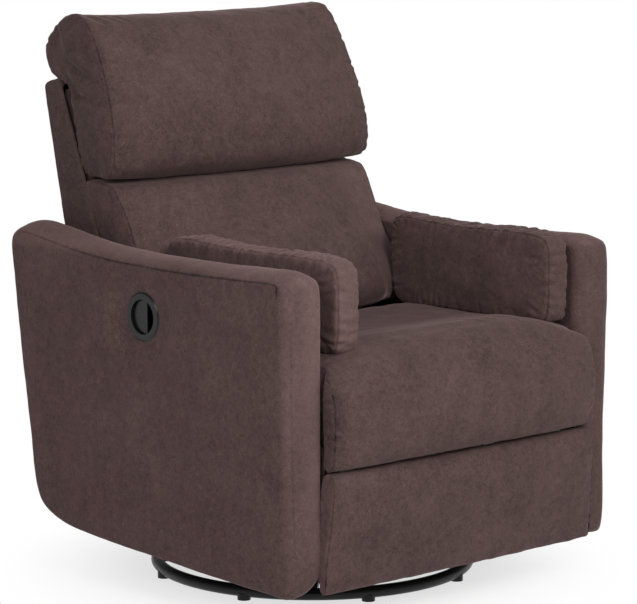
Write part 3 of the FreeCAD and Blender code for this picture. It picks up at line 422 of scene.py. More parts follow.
def seam_relief(points, line, rng, pucker, reach, pitch, groove):
    """How far points near a sewn seam sink, for its groove and the gathers beside it, and how much shade is
    painted on them.

    Reach is how far the gathers run, and pitch how far apart they are.
    """
    box_low = line.min(0) - 3 * reach
    box_high = line.max(0) + 3 * reach
    near = np.flatnonzero(((points > box_low) & (points < box_high)).all(1))
    distance, place = along_line(points[near], line)
    total = np.linalg.norm(np.diff(line, axis=0), axis=1).sum()
    sunk = groove * np.exp(-(distance / 3.0) ** 2)
    at = rng.uniform(0, pitch)
    while at < total:
        width = rng.uniform(3.5, 7.0)
        depth = pucker * rng.uniform(0.3, 1.3)
        long = reach * rng.uniform(0.5, 1.4)
        lean = rng.uniform(-0.35, 0.35)
        offset = place - at - lean * distance
        fold = np.exp(-(offset / width) ** 2) - 0.55 * np.exp(-((np.abs(offset) - 2 * width) / width) ** 2)
        sunk += depth * fold * np.exp(-distance / long) * (1 - np.exp(-(distance / 4.0) ** 2) * 0.3)
        at += pitch * rng.uniform(0.45, 1.7)
    relief = np.zeros(len(points))
    relief[near] = sunk
    dark = np.zeros(len(points))
    # Painted shade along the seam's groove
    dark[near] = np.exp(-(distance / 1.9) ** 2)
    return relief, dark


def fold_relief(points, start, end, width, depth):
    """A fold from start to end: a valley with a low ridge on each side, fading out at both ends."""
    a = np.array(start, float)
    ab = np.array(end, float) - a
    rel = points - a
    t = np.clip(rel @ ab / (ab @ ab), 0, 1)
    d = np.linalg.norm(rel - t[:, None] * ab, axis=1)
    taper = np.sin(math.pi * np.clip(t, 0.02, 0.98)) ** 0.6
    return depth * taper * (np.exp(-(d / width) ** 2) - 0.5 * np.exp(-((d - 2 * width) / width) ** 2))


def finish_soft(piece, seams, folds, seed, pucker, reach, pitch, groove=1.8, sag=0.6):
    """Refines a padded piece and works its seams, gathers and folds into the mesh."""
    coarse = points_of(piece)
    lines = [np.vstack([coarse[s], coarse[s[:1]]]) for s in seams]
    refine(piece, 2)
    points = points_of(piece)
    normals = normals_of(piece)
    rng = np.random.default_rng(seed)
    sunk = np.zeros(len(points))
    dark = np.zeros(len(points))
    for line in lines:
        relief, shade = seam_relief(points, line, rng, pucker, reach, pitch, groove)
        sunk += relief
        dark = np.maximum(dark, shade)
    for fold in folds:
        sunk += fold_relief(points, *fold)
    sunk += sag * waves(points, 60.0, seed + 1) + 0.4 * sag * waves(points, 24.0, seed + 2)
    set_points(piece, points - normals * sunk[:, None])
    # Painted shade along the seams
    paint(piece, "seam", dark)
    shade_smooth(piece)


def finish_firm(piece, seams, seed):
    """Refines a tightly covered piece.

    Each open seam is its points, its depth, the shade painted along it and how far from its ends it fades.
    """
    coarse = points_of(piece)
    lines = [(coarse[s], depth, shade, fade) for s, depth, shade, fade in seams]
    refine(piece, 1)
    points = points_of(piece)
    normals = normals_of(piece)
    sunk = 0.5 * waves(points, 90.0, seed) + 0.2 * waves(points, 30.0, seed + 1)
    dark = np.zeros(len(points))
    for line, depth, shade, fade in lines:
        distance, place = along_line(points, line)
        total = np.linalg.norm(np.diff(line, axis=0), axis=1).sum()
        ends = smoothstep(0.0, fade, place) * smoothstep(total, total - fade, place)
        sunk += depth * ends * np.exp(-(distance / 2.6) ** 2)
        # Painted shade along the seam, fading towards its ends
        dark = np.maximum(dark, shade * ends * np.exp(-(distance / 2.2) ** 2))
    set_points(piece, points - normals * sunk[:, None])
    paint(piece, "seam", dark)
    shade_smooth(piece)


# Material


def new_material(name):
    material = bpy.data.materials.new(name)
    material.use_nodes = True
    nodes = material.node_tree.nodes
    nodes.clear()
    shader = nodes.new("ShaderNodeBsdfPrincipled")
    output = nodes.new("ShaderNodeOutputMaterial")
    material.node_tree.links.new(shader.outputs["BSDF"], output.inputs["Surface"])
    return material, shader


class Nodes:
    """Short calls for building a material's nodes."""

    def __init__(self, material):
        self.tree = material.node_tree
        self.coords = self.tree.nodes.new("ShaderNodeTexCoord").outputs["Object"]

    def link(self, out, into):
        self.tree.links.new(out, into)

    def noise(self, scale, detail, rough=0.5, distortion=0.0, stretch=None):
        node = self.tree.nodes.new("ShaderNodeTexNoise")
        node.inputs["Scale"].default_value = scale
        node.inputs["Detail"].default_value = detail
        node.inputs["Roughness"].default_value = rough
        node.inputs["Distortion"].default_value = distortion
        source = self.coords
        if stretch:
            mapping = self.tree.nodes.new("ShaderNodeMapping")
            mapping.inputs["Scale"].default_value = stretch
            self.link(source, mapping.inputs["Vector"])
            source = mapping.outputs["Vector"]
        self.link(source, node.inputs["Vector"])
        return node.outputs["Fac"]

    def math(self, kind, a, b=None):
        node = self.tree.nodes.new("ShaderNodeMath")
        node.operation = kind
        for slot, value in zip(node.inputs, (a, b)):
            if value is None:
                continue
            if isinstance(value, (int, float)):
                slot.default_value = value
            else:
                self.link(value, slot)
        return node.outputs["Value"]

    def spread(self, value, low, high, to_low, to_high):
        node = self.tree.nodes.new("ShaderNodeMapRange")
        node.inputs["From Min"].default_value = low
        node.inputs["From Max"].default_value = high
        node.inputs["To Min"].default_value = to_low
        node.inputs["To Max"].default_value = to_high
        self.link(value, node.inputs["Value"])
        return node.outputs["Result"]

    def varied(self, noise, to_low, to_high):
        """A noise whose usual range is spread from to_low to to_high."""
        return self.spread(noise, NOISE_LOW, NOISE_HIGH, to_low, to_high)

    def attribute(self, name):
        """The number that is painted on the piece's points by that name."""
        node = self.tree.nodes.new("ShaderNodeAttribute")
        node.attribute_name = name
        return node.outputs["Fac"]

    def tinted(self, colour, factor):
        """A colour times a varying factor."""
        node = self.tree.nodes.new("ShaderNodeVectorMath")
        node.operation = "SCALE"
        node.inputs[0].default_value = colour
        self.link(factor, node.inputs["Scale"])
        return node.outputs["Vector"]

    def bump(self, height, strength, distance, normal=None):
        node = self.tree.nodes.new("ShaderNodeBump")
        node.inputs["Strength"].default_value = strength
        node.inputs["Distance"].default_value = distance
        self.link(height, node.inputs["Height"])
        if normal is not None:
            self.link(normal, node.inputs["Normal"])
        return node.outputs["Normal"]


def suede(name, colour):
    """Brushed micro-suede: blotches where the nap lies differently, fine pale scuffs, and a grain.

    Painted shade along a seam darkens it, and painted light and shade lightens it, or darkens it where the
    number is below zero.
    """
    material, shader = new_material(name)
    n = Nodes(material)
    blotch = n.varied(n.noise(9.0, 3.0), -0.11, 0.11)
    nap = n.varied(n.noise(75.0, 6.0, 0.78, 0.9), -0.30, 0.30)
    streak = n.varied(n.noise(26.0, 4.0, 0.6, 0.4, (1.0, 1.0, 0.22)), -0.08, 0.08)
    contour = n.math("ABSOLUTE", n.math("SUBTRACT", n.noise(46.0, 3.0, 0.6, 2.6), 0.5))
    patches = n.spread(n.noise(24.0, 2.0), 0.44, 0.58, 0.0, 0.75)
    scuff = n.math("MULTIPLY", n.spread(contour, 0.0, 0.016, 1.0, 0.0), patches)
    fleck = n.varied(n.noise(240.0, 3.0, 0.7, 1.2), -0.24, 0.24)
    grain = n.math("ADD", fleck, n.spread(n.noise(700.0, 2.0, 0.6), 0.25, 0.75, -0.20, 0.20))
    # Painted light and shade from the piece's points: it lightens the colour, or darkens it below zero
    scaled_painted_light = n.math("MULTIPLY", n.attribute("painted_light_shade"), PAINTED_LIGHT_GAIN)
    spots = n.math("ADD", streak, n.math("ADD", scuff, grain))
    total = n.math("ADD", n.math("ADD", n.math("ADD", blotch, nap), scaled_painted_light), spots)
    # The mottled colour with the painted light and shade, less the painted shade along seams
    mottle_and_painted_light = n.math("SUBTRACT", n.math("ADD", total, 1.0), n.math("MULTIPLY", n.attribute("seam"), SEAM_SHADE))
    n.link(n.tinted(colour, mottle_and_painted_light), shader.inputs["Base Color"])
    n.link(n.varied(n.noise(60.0, 4.0), 0.86, 0.97), shader.inputs["Roughness"])
    shader.inputs["Specular IOR Level"].default_value = 0.22
    shader.inputs["Sheen Weight"].default_value = 0.34
    shader.inputs["Sheen Roughness"].default_value = 0.32
    shader.inputs["Sheen Tint"].default_value = (*SHEEN_TINT, 1.0)
    coarse = n.bump(n.noise(70.0, 6.0, 0.72, 0.8), 0.30, 0.0012)
    n.link(n.bump(n.noise(900.0, 2.0, 0.6), 0.35, 0.0004, coarse), shader.inputs["Normal"])
    return material


def painted(name, colour, rough, grain_scale, grain_depth, metallic=0.0, specular=0.5):
    """Paint, plastic or bright metal with a slight unevenness in gloss and relief."""
    material, shader = new_material(name)
    n = Nodes(material)
    factor = n.varied(n.noise(grain_scale, 3.0), 0.9, 1.12)
    n.link(n.tinted(colour, factor), shader.inputs["Base Color"])
    gloss = n.varied(n.noise(grain_scale / 6, 4.0), rough * 0.85, min(1.0, rough * 1.2))
    n.link(gloss, shader.inputs["Roughness"])
    shader.inputs["Metallic"].default_value = metallic
    shader.inputs["Specular IOR Level"].default_value = specular
    n.link(n.bump(n.noise(grain_scale, 2.0), 0.3, grain_depth), shader.inputs["Normal"])
    return material


def timber(name, colour):
    material, shader = new_material(name)
    n = Nodes(material)
    rings = n.noise(18.0, 5.0, 0.6, 1.2, (0.15, 1.0, 1.0))
    n.link(n.tinted(colour, n.varied(rings, 0.7, 1.2)), shader.inputs["Base Color"])
    n.link(n.varied(rings, 0.55, 0.75), shader.inputs["Roughness"])
    n.link(n.bump(rings, 0.4, 0.0006), shader.inputs["Normal"])
    return material


MATERIALS = {
    "upholstery": suede("suede", SUEDE),
    "upholstery_back": suede("suede_back", SUEDE_BACK),
    "black_steel": painted("black_powder_coat", BLACK, 0.38, 700.0, 0.0002, specular=0.3),
    "zinc_steel": painted("zinc_plate", ZINC, 0.35, 400.0, 0.0001, 1.0),
    "spring_steel": painted("spring_wire", SPRING_GREY, 0.45, 400.0, 0.0001, 1.0),
    "black_plastic": painted("black_moulding", MOULDING_BLACK, 0.3, 900.0, 0.00012, specular=0.3),
    "plywood": timber("raw_timber", PINE),
}


def dress(piece, slot):
    piece.data.materials.clear()
    piece.data.materials.append(MATERIALS[slot])


def dress_frame():
    """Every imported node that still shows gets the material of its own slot."""
    slots = {part["node"]: part["material_slot"] for part in frame["record"]["subparts"]}
    for name, node in frame["nodes"].items():
        node.data.materials.clear()
        node.data.materials.append(MATERIALS[slots[name]])


# Soft pieces


def headrest():
    bottom = HEAD_BOTTOM
    centre = [
        (plane_y(bottom + 10), bottom + 4), (232, bottom), (186, bottom + 2), (158, 745), (150, 790),
        (166, 850), (196, 915), (232, 972), (268, 1004), (312, 1014), (362, 1008), (398, 984), (416, 950),
        (402, 912), (386, 902), (plane_y(901), 901), (plane_y(820), 820),
    ]
    side = [
        (plane_y(bottom + 10), bottom + 8), (250, bottom + 6), (206, bottom + 6), (190, 742), (184, 786),
        (198, 850), (226, 920), (258, 980), (286, 1013), (314, 1021), (354, 1016), (394, 992), (417, 958),
        (408, 922), (388, 903), (plane_y(901), 901), (plane_y(820), 820),
    ]
    piece, seams = cushion("headrest", centre, side, reach=306.0, power=3.2, half=302.0,
                           middle=(286.0, 880.0), bulge=9.0, shares=SOFT_END)
    points = points_of(piece)
    wider = 1 + 0.052 * smoothstep(1010.0, 730.0, points[:, 2])
    behind = smoothstep(0.0, 1.0, (points[:, 1] - (plane_y(points[:, 2]) - 110)) / 110)
    edge = smoothstep(200.0, 300.0, np.abs(points[:, 0]))
    points[:, 0] *= wider - 0.045 * behind * edge
    set_points(piece, points)
    rear = np.flatnonzero(points[:, 1] > plane_y(points[:, 2]) - 2)
    inflate(piece, np.concatenate(seams + [rear]), cap=6.0, shrink=3.0)
    folds = [
        ((-304, 290, 1010), (-306, 372, 985), 8, 5.0), ((-300, 262, 985), (-225, 262, 985), 7, 3.0),
        ((-302, 236, 950), (-240, 228, 945), 6, 2.4), ((-292, 300, 1016), (-235, 250, 985), 7, 3.0),
        ((-262, 300, 1018), (-200, 238, 968), 6, 2.6), ((-230, 296, 1016), (-170, 232, 960), 6, 2.0),
        ((-306, 300, 960), (-308, 360, 948), 7, 4.5), ((-310, 250, 900), (-306, 340, 935), 7, 5.0),
        ((-312, 236, 862), (-306, 330, 880), 7, 4.5), ((-314, 215, 800), (-308, 290, 812), 6, 2.2),
        ((-250, 188, 868), (-205, 178, 872), 5, 1.8), ((285, 262, 985), (225, 240, 955), 7, 3.0),
        ((262, 300, 1018), (205, 240, 965), 7, 3.0), ((292, 240, 940), (240, 226, 915), 6, 2.2),
        ((306, 300, 960), (306, 360, 948), 7, 4.0), ((-120, 190, 905), (120, 185, 900), 22, 1.6),
        ((-150, 152, 790), (160, 150, 780), 26, 1.4),
    ]
    finish_soft(piece, seams, folds, 11, pucker=2.2, reach=34.0, pitch=40.0, groove=2.4)
    # Painted shade on the headrest's side at negative x
    paint(piece, "painted_light_shade", -0.3 * smoothstep(-284.0, -304.0, points_of(piece)[:, 0]))
    return piece


def lumbar():
    bottom = LUMBAR_BOTTOM
    centre = [
        (plane_y(bottom), bottom), (90, 461), (28, 464), (-2, 478), (-8, 508), (18, 548), (58, 600),
        (98, 650), (134, 694), (158, 714), (196, 721), (plane_y(720), 720), (plane_y(600), 600),
    ]
    side = [
        (plane_y(bottom), bottom + 2), (118, 461), (84, 464), (70, 484), (76, 516), (100, 562),
        (130, 606), (156, 650), (180, 692), (196, 712), (222, 718), (plane_y(716), 716),
        (plane_y(600), 600),
    ]
    piece, seams = cushion("lumbar_cushion_soft", centre, side, reach=311.0, power=2.6, half=307.0,
                           middle=(168.0, 600.0), bulge=4.0, shares=SOFT_END)
    points = points_of(piece)
    points[:, 0] *= 1 + 0.012 * smoothstep(650.0, 700.0, points[:, 2])
    pressed = smoothstep(190.0, 240.0, np.abs(points[:, 0])) * smoothstep(660.0, 590.0, points[:, 2])
    front = smoothstep(0.0, 1.0, (plane_y(points[:, 2]) - points[:, 1]) / 60)
    points[:, 1] += 10.0 * pressed * front
    set_points(piece, points)
    rear = np.flatnonzero(points[:, 1] > plane_y(points[:, 2]) - 2)
    inflate(piece, np.concatenate(seams + [rear]), cap=6.0, shrink=3.0)
    folds = [((-280, 170, 700), (-230, 165, 700), 6, 1.6), ((-292, 150, 660), (-250, 140, 640), 6, 1.4)]
    finish_soft(piece, seams, folds, 21, pucker=1.0, reach=24.0, pitch=52.0)
    # Painted light towards the cushion's end at positive x
    paint(piece, "painted_light_shade", 0.5 * smoothstep(150.0, 300.0, points_of(piece)[:, 0]))
    return piece


def seat():
    centre = [
        (-340, 374), (-342, 308), (-372, 288), (-396, 280), (-416, 291), (-428, 330), (-428, 376),
        (-418, 425), (-398, 462), (-364, 484), (-320, 486), (-260, 478), (-190, 467), (-90, 465),
        (4, 464), (70, 450), (98, 420), (96, 378), (0, 376), (-200, 376),
    ]
    side = [
        (-342, 374), (-344, 308), (-368, 287), (-388, 280), (-401, 286), (-407, 320), (-409, 372),
        (-404, 408), (-391, 436), (-362, 452), (-320, 460), (-260, 460), (-190, 460), (-90, 462),
        (0, 463), (66, 455), (96, 424), (96, 378), (0, 376), (-200, 376),
    ]
    piece, seams = cushion("seat_cushion_soft", centre, side, reach=309.0, power=4.5, half=307.0,
                           middle=(-372.0, 400.0), bulge=3.0, shares=SEAT_END)
    points = points_of(piece)
    points[:, 0] *= 1 + 0.055 * smoothstep(-368.0, -382.0, points[:, 1])
    set_points(piece, points)
    under = np.flatnonzero(((points[:, 2] < 380) & (points[:, 1] > -350)) | (points[:, 2] < 300))
    inflate(piece, np.concatenate(seams + [under]), cap=4.0, shrink=3.0)
    folds = [
        ((-318, -404, 448), (-268, -420, 420), 6, 3.0), ((-322, -406, 420), (-286, -420, 412), 5, 2.4),
        ((-322, -408, 372), (-292, -424, 366), 5, 1.8), ((-322, -406, 322), (-294, -424, 326), 5, 1.8),
        ((318, -404, 444), (276, -422, 420), 6, 2.4), ((322, -406, 340), (292, -424, 345), 5, 1.6),
        ((-200, -392, 470), (-60, -388, 476), 9, 1.0), ((60, -388, 476), (220, -394, 468), 9, 1.0),
    ]
    finish_soft(piece, seams, folds, 31, pucker=3.6, reach=13.0, pitch=21.0, groove=3.4)
    points = points_of(piece)
    # Painted shade towards the end at negative x, and on the flat behind the front roll's crest
    shaded = 0.4 * smoothstep(-285.0, -322.0, points[:, 0])
    shaded += 0.32 * smoothstep(-325.0, -265.0, points[:, 1])
    paint(piece, "painted_light_shade", -shaded)
    return piece


def footrest():
    back = PAD_HIGH[1]
    low = PAD_LOW[2]
    high = PAD_HIGH[2] + 2.5
    centre = [
        (back, low + 8), (back - 10, low), (back - 18, low + 5), (-401, low + 30), (-408, low + 80),
        (-415, 175), (-417, 225), (-414, high - 18), (-402, high - 3), (back - 12, high),
        (back, high - 8),
    ]
    side = [
        (back, low + 8), (back - 8, low + 1), (back - 15, low + 6), (-392, low + 30), (-396, low + 80),
        (-401, 175), (-405, 225), (-407, high - 16), (-401, high - 4), (back - 12, high),
        (back, high - 8),
    ]
    piece, seams = cushion("footrest_soft", centre, side, reach=318.0, power=4, half=316.0,
                           middle=(back - 14, 0.5 * (low + high)), bulge=2.0, shares=FLAT_END,
                           seam_room=18.0, pitch=FINE)
    points = points_of(piece)
    points[:, 0] *= 1.022 + 0.024 * smoothstep(high, low, points[:, 2])
    set_points(piece, points)
    rear = np.flatnonzero(points[:, 1] > back - 3)
    inflate(piece, np.concatenate(seams + [rear]), cap=3.0, shrink=2.0)
    folds = [
        ((-200, -414, 268), (-120, -416, 250), 9, 0.9), ((40, -414, 268), (150, -416, 246), 10, 0.9),
        ((200, -412, 266), (290, -412, 240), 9, 1.2), ((-322, -400, 262), (-292, -410, 250), 5, 1.6),
    ]
    finish_soft(piece, seams, folds, 41, pucker=1.4, reach=15.0, pitch=36.0)
    return piece


def pillow(name, node, shift, rear, seed):
    """A boxed bolster: two crowned faces joined by a gathered strip, its rear end pressed against the back.

    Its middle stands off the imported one's by shift, and its rear end by rear.
    """
    low, high = corners(node)
    centre_x = 0.5 * (low[0] + high[0]) + shift
    side = math.copysign(1.0, centre_x)
    rim = 0.5 * (high[0] - low[0]) - 9.0
    front, bottom, top = low[1] - 3.0, low[2], high[2]
    middle_y = -150.0
    shape = [
        (front, bottom + 30), (front - 2, 0.5 * (bottom + top)), (front, top - 26), (front + 8, top - 8),
        (front + 26, top), (-260, top + 4), (-150, top + 1), (-60, top + 2), (20, top + 5), (44, top + 1),
        (58, top - 12), (62, top - 40), (60, bottom + 70), (56, bottom + 30), (48, bottom + 10),
        (32, bottom), (-100, bottom), (-240, bottom), (front + 24, bottom), (front + 7, bottom + 8),
    ]
    rim_outline = smooth_outline(shape, steps_for(shape, FINE))
    normal = outline_normals(rim_outline)
    stations = [(-rim, 3.0), (-rim + 4, 1.2), (-rim + 10, 0.0), (-rim + 18, -1.0), (0.0, -1.6)]
    stations += [(-x, fall) for x, fall in stations[-2::-1]]
    rings = [ring_at(centre_x + x, rim_outline - normal * fall) for x, fall in stations]
    piece = capped(name, rings, (middle_y, 0.5 * (bottom + top)), (-10.0, 10.0), PILLOW_END)
    seams = end_seams(rings, PILLOW_END)
    points = points_of(piece)
    pressed = smoothstep(-80.0, 60.0, points[:, 1])
    points[:, 1] += pressed * (0.45 * side * (points[:, 0] - centre_x) + rear)
    ends = smoothstep(120.0, 190.0, np.abs(points[:, 1] - middle_y))
    points[:, 0] += (centre_x - points[:, 0]) * 0.10 * ends
    set_points(piece, points)
    inflate(piece, np.concatenate(seams), cap=4.0, shrink=3.0)
    folds = bolster_folds(centre_x, rim, front, bottom, top, seed)
    finish_soft(piece, seams, folds, seed, pucker=2.6, reach=20.0, pitch=24.0, groove=2.4, sag=1.1)
    points = points_of(piece)
    points[:, 2] = np.maximum(points[:, 2], low[2])
    set_points(piece, points)
    # Painted highlight on the gathered strip's top and front end, strong where the pillow lies at negative x
    # and faint elsewhere
    strip = smoothstep(rim + 6.0, rim - 3.0, np.abs(points[:, 0] - centre_x))
    on_top = smoothstep(top - 20.0, top - 4.0, points[:, 2])
    on_front = smoothstep(front + 14.0, front + 3.0, points[:, 1])
    strip *= np.maximum(on_top, on_front)
    paint(piece, "painted_light_shade", (0.9 if side < 0 else 0.1) * strip)
    return piece


def bolster_folds(x, rim, front, bottom, top, seed):
    """Creases across the strip's top and front end, and short ones from the corners of the faces."""
    rng = np.random.default_rng(seed + 3)
    folds = []
    y = front + 30.0
    while y < 50.0:
        lean = rng.uniform(-38.0, 38.0)
        start = (x - rim * rng.uniform(0.5, 1.1), y, top)
        end = (x + rim * rng.uniform(0.2, 1.1), y + lean, top)
        folds.append((start, end, rng.uniform(3.0, 6.0), rng.uniform(1.2, 3.6)))
        y += rng.uniform(14.0, 34.0)
    z = bottom + 22.0
    while z < top - 20.0:
        start = (x - rim, front, z)
        end = (x + rim * rng.uniform(-0.4, 0.4), front, z + rng.uniform(-14.0, 14.0))
        folds.append((start, end, rng.uniform(3.0, 5.0), rng.uniform(0.8, 2.8)))
        z += rng.uniform(18.0, 40.0)
    from_corners = (
        (front + 12, top - 14, 46, -24), (front + 10, bottom + 14, 40, 22), (front + 14, top - 40, 40, -4),
    )
    for side in (-1, 1):
        face = x + side * (rim + 6)
        for y, z, run, rise in from_corners:
            folds.append(((face, y, z), (face, y + run, z + rise), 5.0, 2.4))
    return folds


def outline_normals(outline):
    """The outward direction at each point of a closed outline that runs clockwise seen from +X."""
    along = np.roll(outline, -1, axis=0) - np.roll(outline, 1, axis=0)
    along /= np.linalg.norm(along, axis=1)[:, None]
    return np.column_stack([-along[:, 1], along[:, 0]])


def rounding(radius, distance):
    """How far an edge rounded to that radius falls back at a distance from the side face."""
    d = min(radius, max(0.0, distance))
    return radius - math.sqrt(radius ** 2 - (radius - d) ** 2)


def arm_outline():
    """The arm's side view at the middle of its thickness."""
    front, rear = ARM_LOW[1], ARM_HIGH[1]
    bottom, top = ARM_LOW[2], 622.0
    return [
        (front, bottom + 14), (front, 250), (front, 450), (front, top - 46), (front + 4, top - 22),
        (front + 14, top - 7), (front + 34, top), (-250, 620), (-120, 617), (20, 617), (120, 621),
        (220, 631), (300, 642), (340, 646), (362, 642), (378, 628), (rear, 606), (rear - 4, 560),
        (rear - 20, 420), (rear - 38, 280), (338, 190), (328, 148), (310, 124), (252, 99), (150, 87),
        (0, 79), (-180, 70), (front + 60, bottom + 1), (front + 14, bottom),
    ]


def arm(name, side, seed):
    """An arm: a padded outer panel, a crowned band over its top, and a rounded nose."""
    outer, inner = ARM_HIGH[0], ARM_LOW[0]
    front = ARM_LOW[1]
    thick = outer - inner
    outline = smooth_outline(arm_outline(), steps_for(arm_outline(), pitch=11.0))
    normal = outline_normals(outline)
    y, z = outline[:, 0], outline[:, 1]
    facing_up = smoothstep(0.35, 0.85, normal[:, 1])
    facing_down = smoothstep(0.35, 0.85, -normal[:, 1])
    facing_front = smoothstep(0.35, 0.85, -normal[:, 0])
    facing_rear = smoothstep(0.35, 0.85, normal[:, 0])
    low_nose = smoothstep(-150.0, -340.0, y) * smoothstep(210.0, 65.0, z)

    def ring(depth):
        """The ring at a depth in from the outer panel."""
        other = thick - depth
        off_centre = abs(2 * depth / thick - 1)
        falls = (
            (facing_up, 18.0 * off_centre ** 2.1),
            (facing_front, rounding(24.0, depth) + rounding(21.0, other)),
            (facing_down, rounding(9.0, depth) + rounding(14.0, other)),
            (facing_rear, rounding(16.0, depth) + rounding(16.0, other)),
        )
        total = sum(weight for weight, _ in falls)
        fall = sum(weight * amount for weight, amount in falls) / np.maximum(total, 1e-6)
        placed = outline - normal * fall[:, None]
        placed[:, 1] += 1.15 * rounding(56.0, other) * low_nose
        return ring_at((outer - depth) * side, placed)

    depths = [0.0, 1.2, 3.5, 7.0, 11.0, 16.0, 24.0, 0.5 * thick]
    depths += [thick - d for d in depths[-2::-1]]
    rings = [ring(d) for d in depths]
    piece = capped(name, rings, (0.0, 345.0), (4.0 * side, -0.2 * side), ARM_END)
    points = points_of(piece)
    outward = smoothstep(0.5 * thick, thick, np.abs(points[:, 0]) - inner)
    if side < 0:
        from_cup = np.hypot(points[:, 1] - CUP_MIDDLE[1], points[:, 2] - CUP_MIDDLE[2])
        outward *= smoothstep(*CUP_FLAT, from_cup)
    points[:, 0] += side * PANEL_FULLNESS * outward * smoothstep(60.0, 560.0, points[:, 2])
    if side < 0:
        beyond = np.maximum(0.0, -outer + 0.3 - points[:, 0])
        points[:, 0] += beyond * smoothstep(*CUP_CLEAR, from_cup)
    set_points(piece, points)
    top_seam = np.flatnonzero((z > 572) & (y < 372))
    nose_seam = np.flatnonzero((y < front + 2) & (z > 100) & (z < 560))
    count = len(outline)
    first = len(ARM_END) * count
    # Each seam: its points, its depth, its painted shade and how far from its ends it fades
    seams = [(first + top_seam, 1.5, 1.0, 22.0), (first + 4 * count + nose_seam, 0.6, 0.4, 60.0)]
    finish_firm(piece, seams, seed)
    # Painted highlight on the nose, strong on the arm at negative x and most on its inner side, and along
    # the top band
    crest = points_of(piece)
    nose = smoothstep(front + 26.0, front + 4.0, crest[:, 1])
    inward = smoothstep(outer - 12.0, inner + 24.0, np.abs(crest[:, 0]))
    painted_light_shade = (0.1 if side > 0 else 0.5 + 0.8 * inward) * nose * smoothstep(20.0, 320.0, crest[:, 2])
    painted_light_shade += 0.8 * smoothstep(598.0, 616.0, crest[:, 2])
    paint(piece, "painted_light_shade", np.clip(painted_light_shade, 0, 1.3))
    return piece


def cut_cup_hole(piece):
    """Opens the right arm's outer face for the release cup."""
    place = (CUP_HIGH[0] - 0.5 * CUP_HOLE_DEPTH, CUP_MIDDLE[1], CUP_MIDDLE[2])
    bpy.ops.mesh.primitive_cylinder_add(vertices=64, radius=CUP_HOLE_RADIUS * MM, depth=CUP_HOLE_DEPTH * MM,
                                        location=[value * MM for value in place],
                                        rotation=(0, math.pi / 2, 0))
    cutter = bpy.context.active_object
    modifier = piece.modifiers.new("hole", "BOOLEAN")
    modifier.operation = "DIFFERENCE"
    modifier.solver = "EXACT"
    modifier.object = cutter
    apply_modifiers(piece)
    bpy.data.objects.remove(cutter)


def softened(name, node, voxel, passes):
    """A copy of a firm upholstered board with its edges rounded as padded fabric rounds them."""
    piece = bpy.data.objects.new(name, frame["nodes"][node].data.copy())
    bpy.context.scene.collection.objects.link(piece)
    remesh = piece.modifiers.new("remesh", "REMESH")
    remesh.mode = "VOXEL"
    remesh.voxel_size = voxel * MM
    smooth = piece.modifiers.new("smooth", "SMOOTH")
    smooth.factor = 0.5
    smooth.iterations = passes
    apply_modifiers(piece)
    points = points_of(piece)
    relief = 0.5 * waves(points, 90.0, 71) + 0.2 * waves(points, 30.0, 72)
    set_points(piece, points - normals_of(piece) * relief[:, None])
    paint(piece, "seam", np.zeros(len(points)))
    shade_smooth(piece)
    return piece


def round_top(piece, top, radius):
    """Rounds the outer back's upper corners, seen from the side and from the front."""
    points = points_of(piece)
    high = np.clip((points[:, 2] - (top - radius)) / radius, 0.0, 0.98)
    fall = radius * (1 - np.sqrt(1 - high ** 2))
    rear = smoothstep(0.0, 1.0, (points[:, 1] - plane_y(points[:, 2]) - 20) / 20)
    points[:, 1] += fall * (0.5 - 1.4 * rear)
    points[:, 0] -= np.sign(points[:, 0]) * fall * smoothstep(285.0, 300.0, np.abs(points[:, 0]))
    set_points(piece, points)


def thin_strip(name, rings, middle, bulge, seed):
    """A thin strip through the rings, whose second face stands out by bulge in the middle."""
    piece = capped(name, rings, middle, (0.0, bulge), FLAT_END)
    finish_firm(piece, [], seed)
    return piece


def boxing(name, side):
    """The cushions' side strip, which runs on into the outer back and covers the frame's stile."""
    inner, outer = 289.0, 293.5
    front, deep = -12.0, 26.0
    low, top = 440.0, 880.0
    shape = [
        (plane_y(low) + front, low), (plane_y(560) + front, 560), (plane_y(700) + front, 700),
        (plane_y(840) + front, 840), (plane_y(870) + front, 872), (plane_y(872) + 6, top),
        (plane_y(860) + deep, 866), (plane_y(700) + deep, 700), (plane_y(560) + deep, 560),
        (plane_y(low) + deep, low),
    ]
    edge = smooth_outline(shape, steps_for(shape, COARSE))
    normal = outline_normals(edge)
    stations = ((inner, 1.5), (inner + 1, 0.0), (outer - 1, 0.0), (outer, 1.5))
    rings = [ring_at(x * side, edge - normal * fall) for x, fall in stations]
    return thin_strip(name, rings, (plane_y(660.0) + 7.0, 660.0), 1.5 * side, 91)


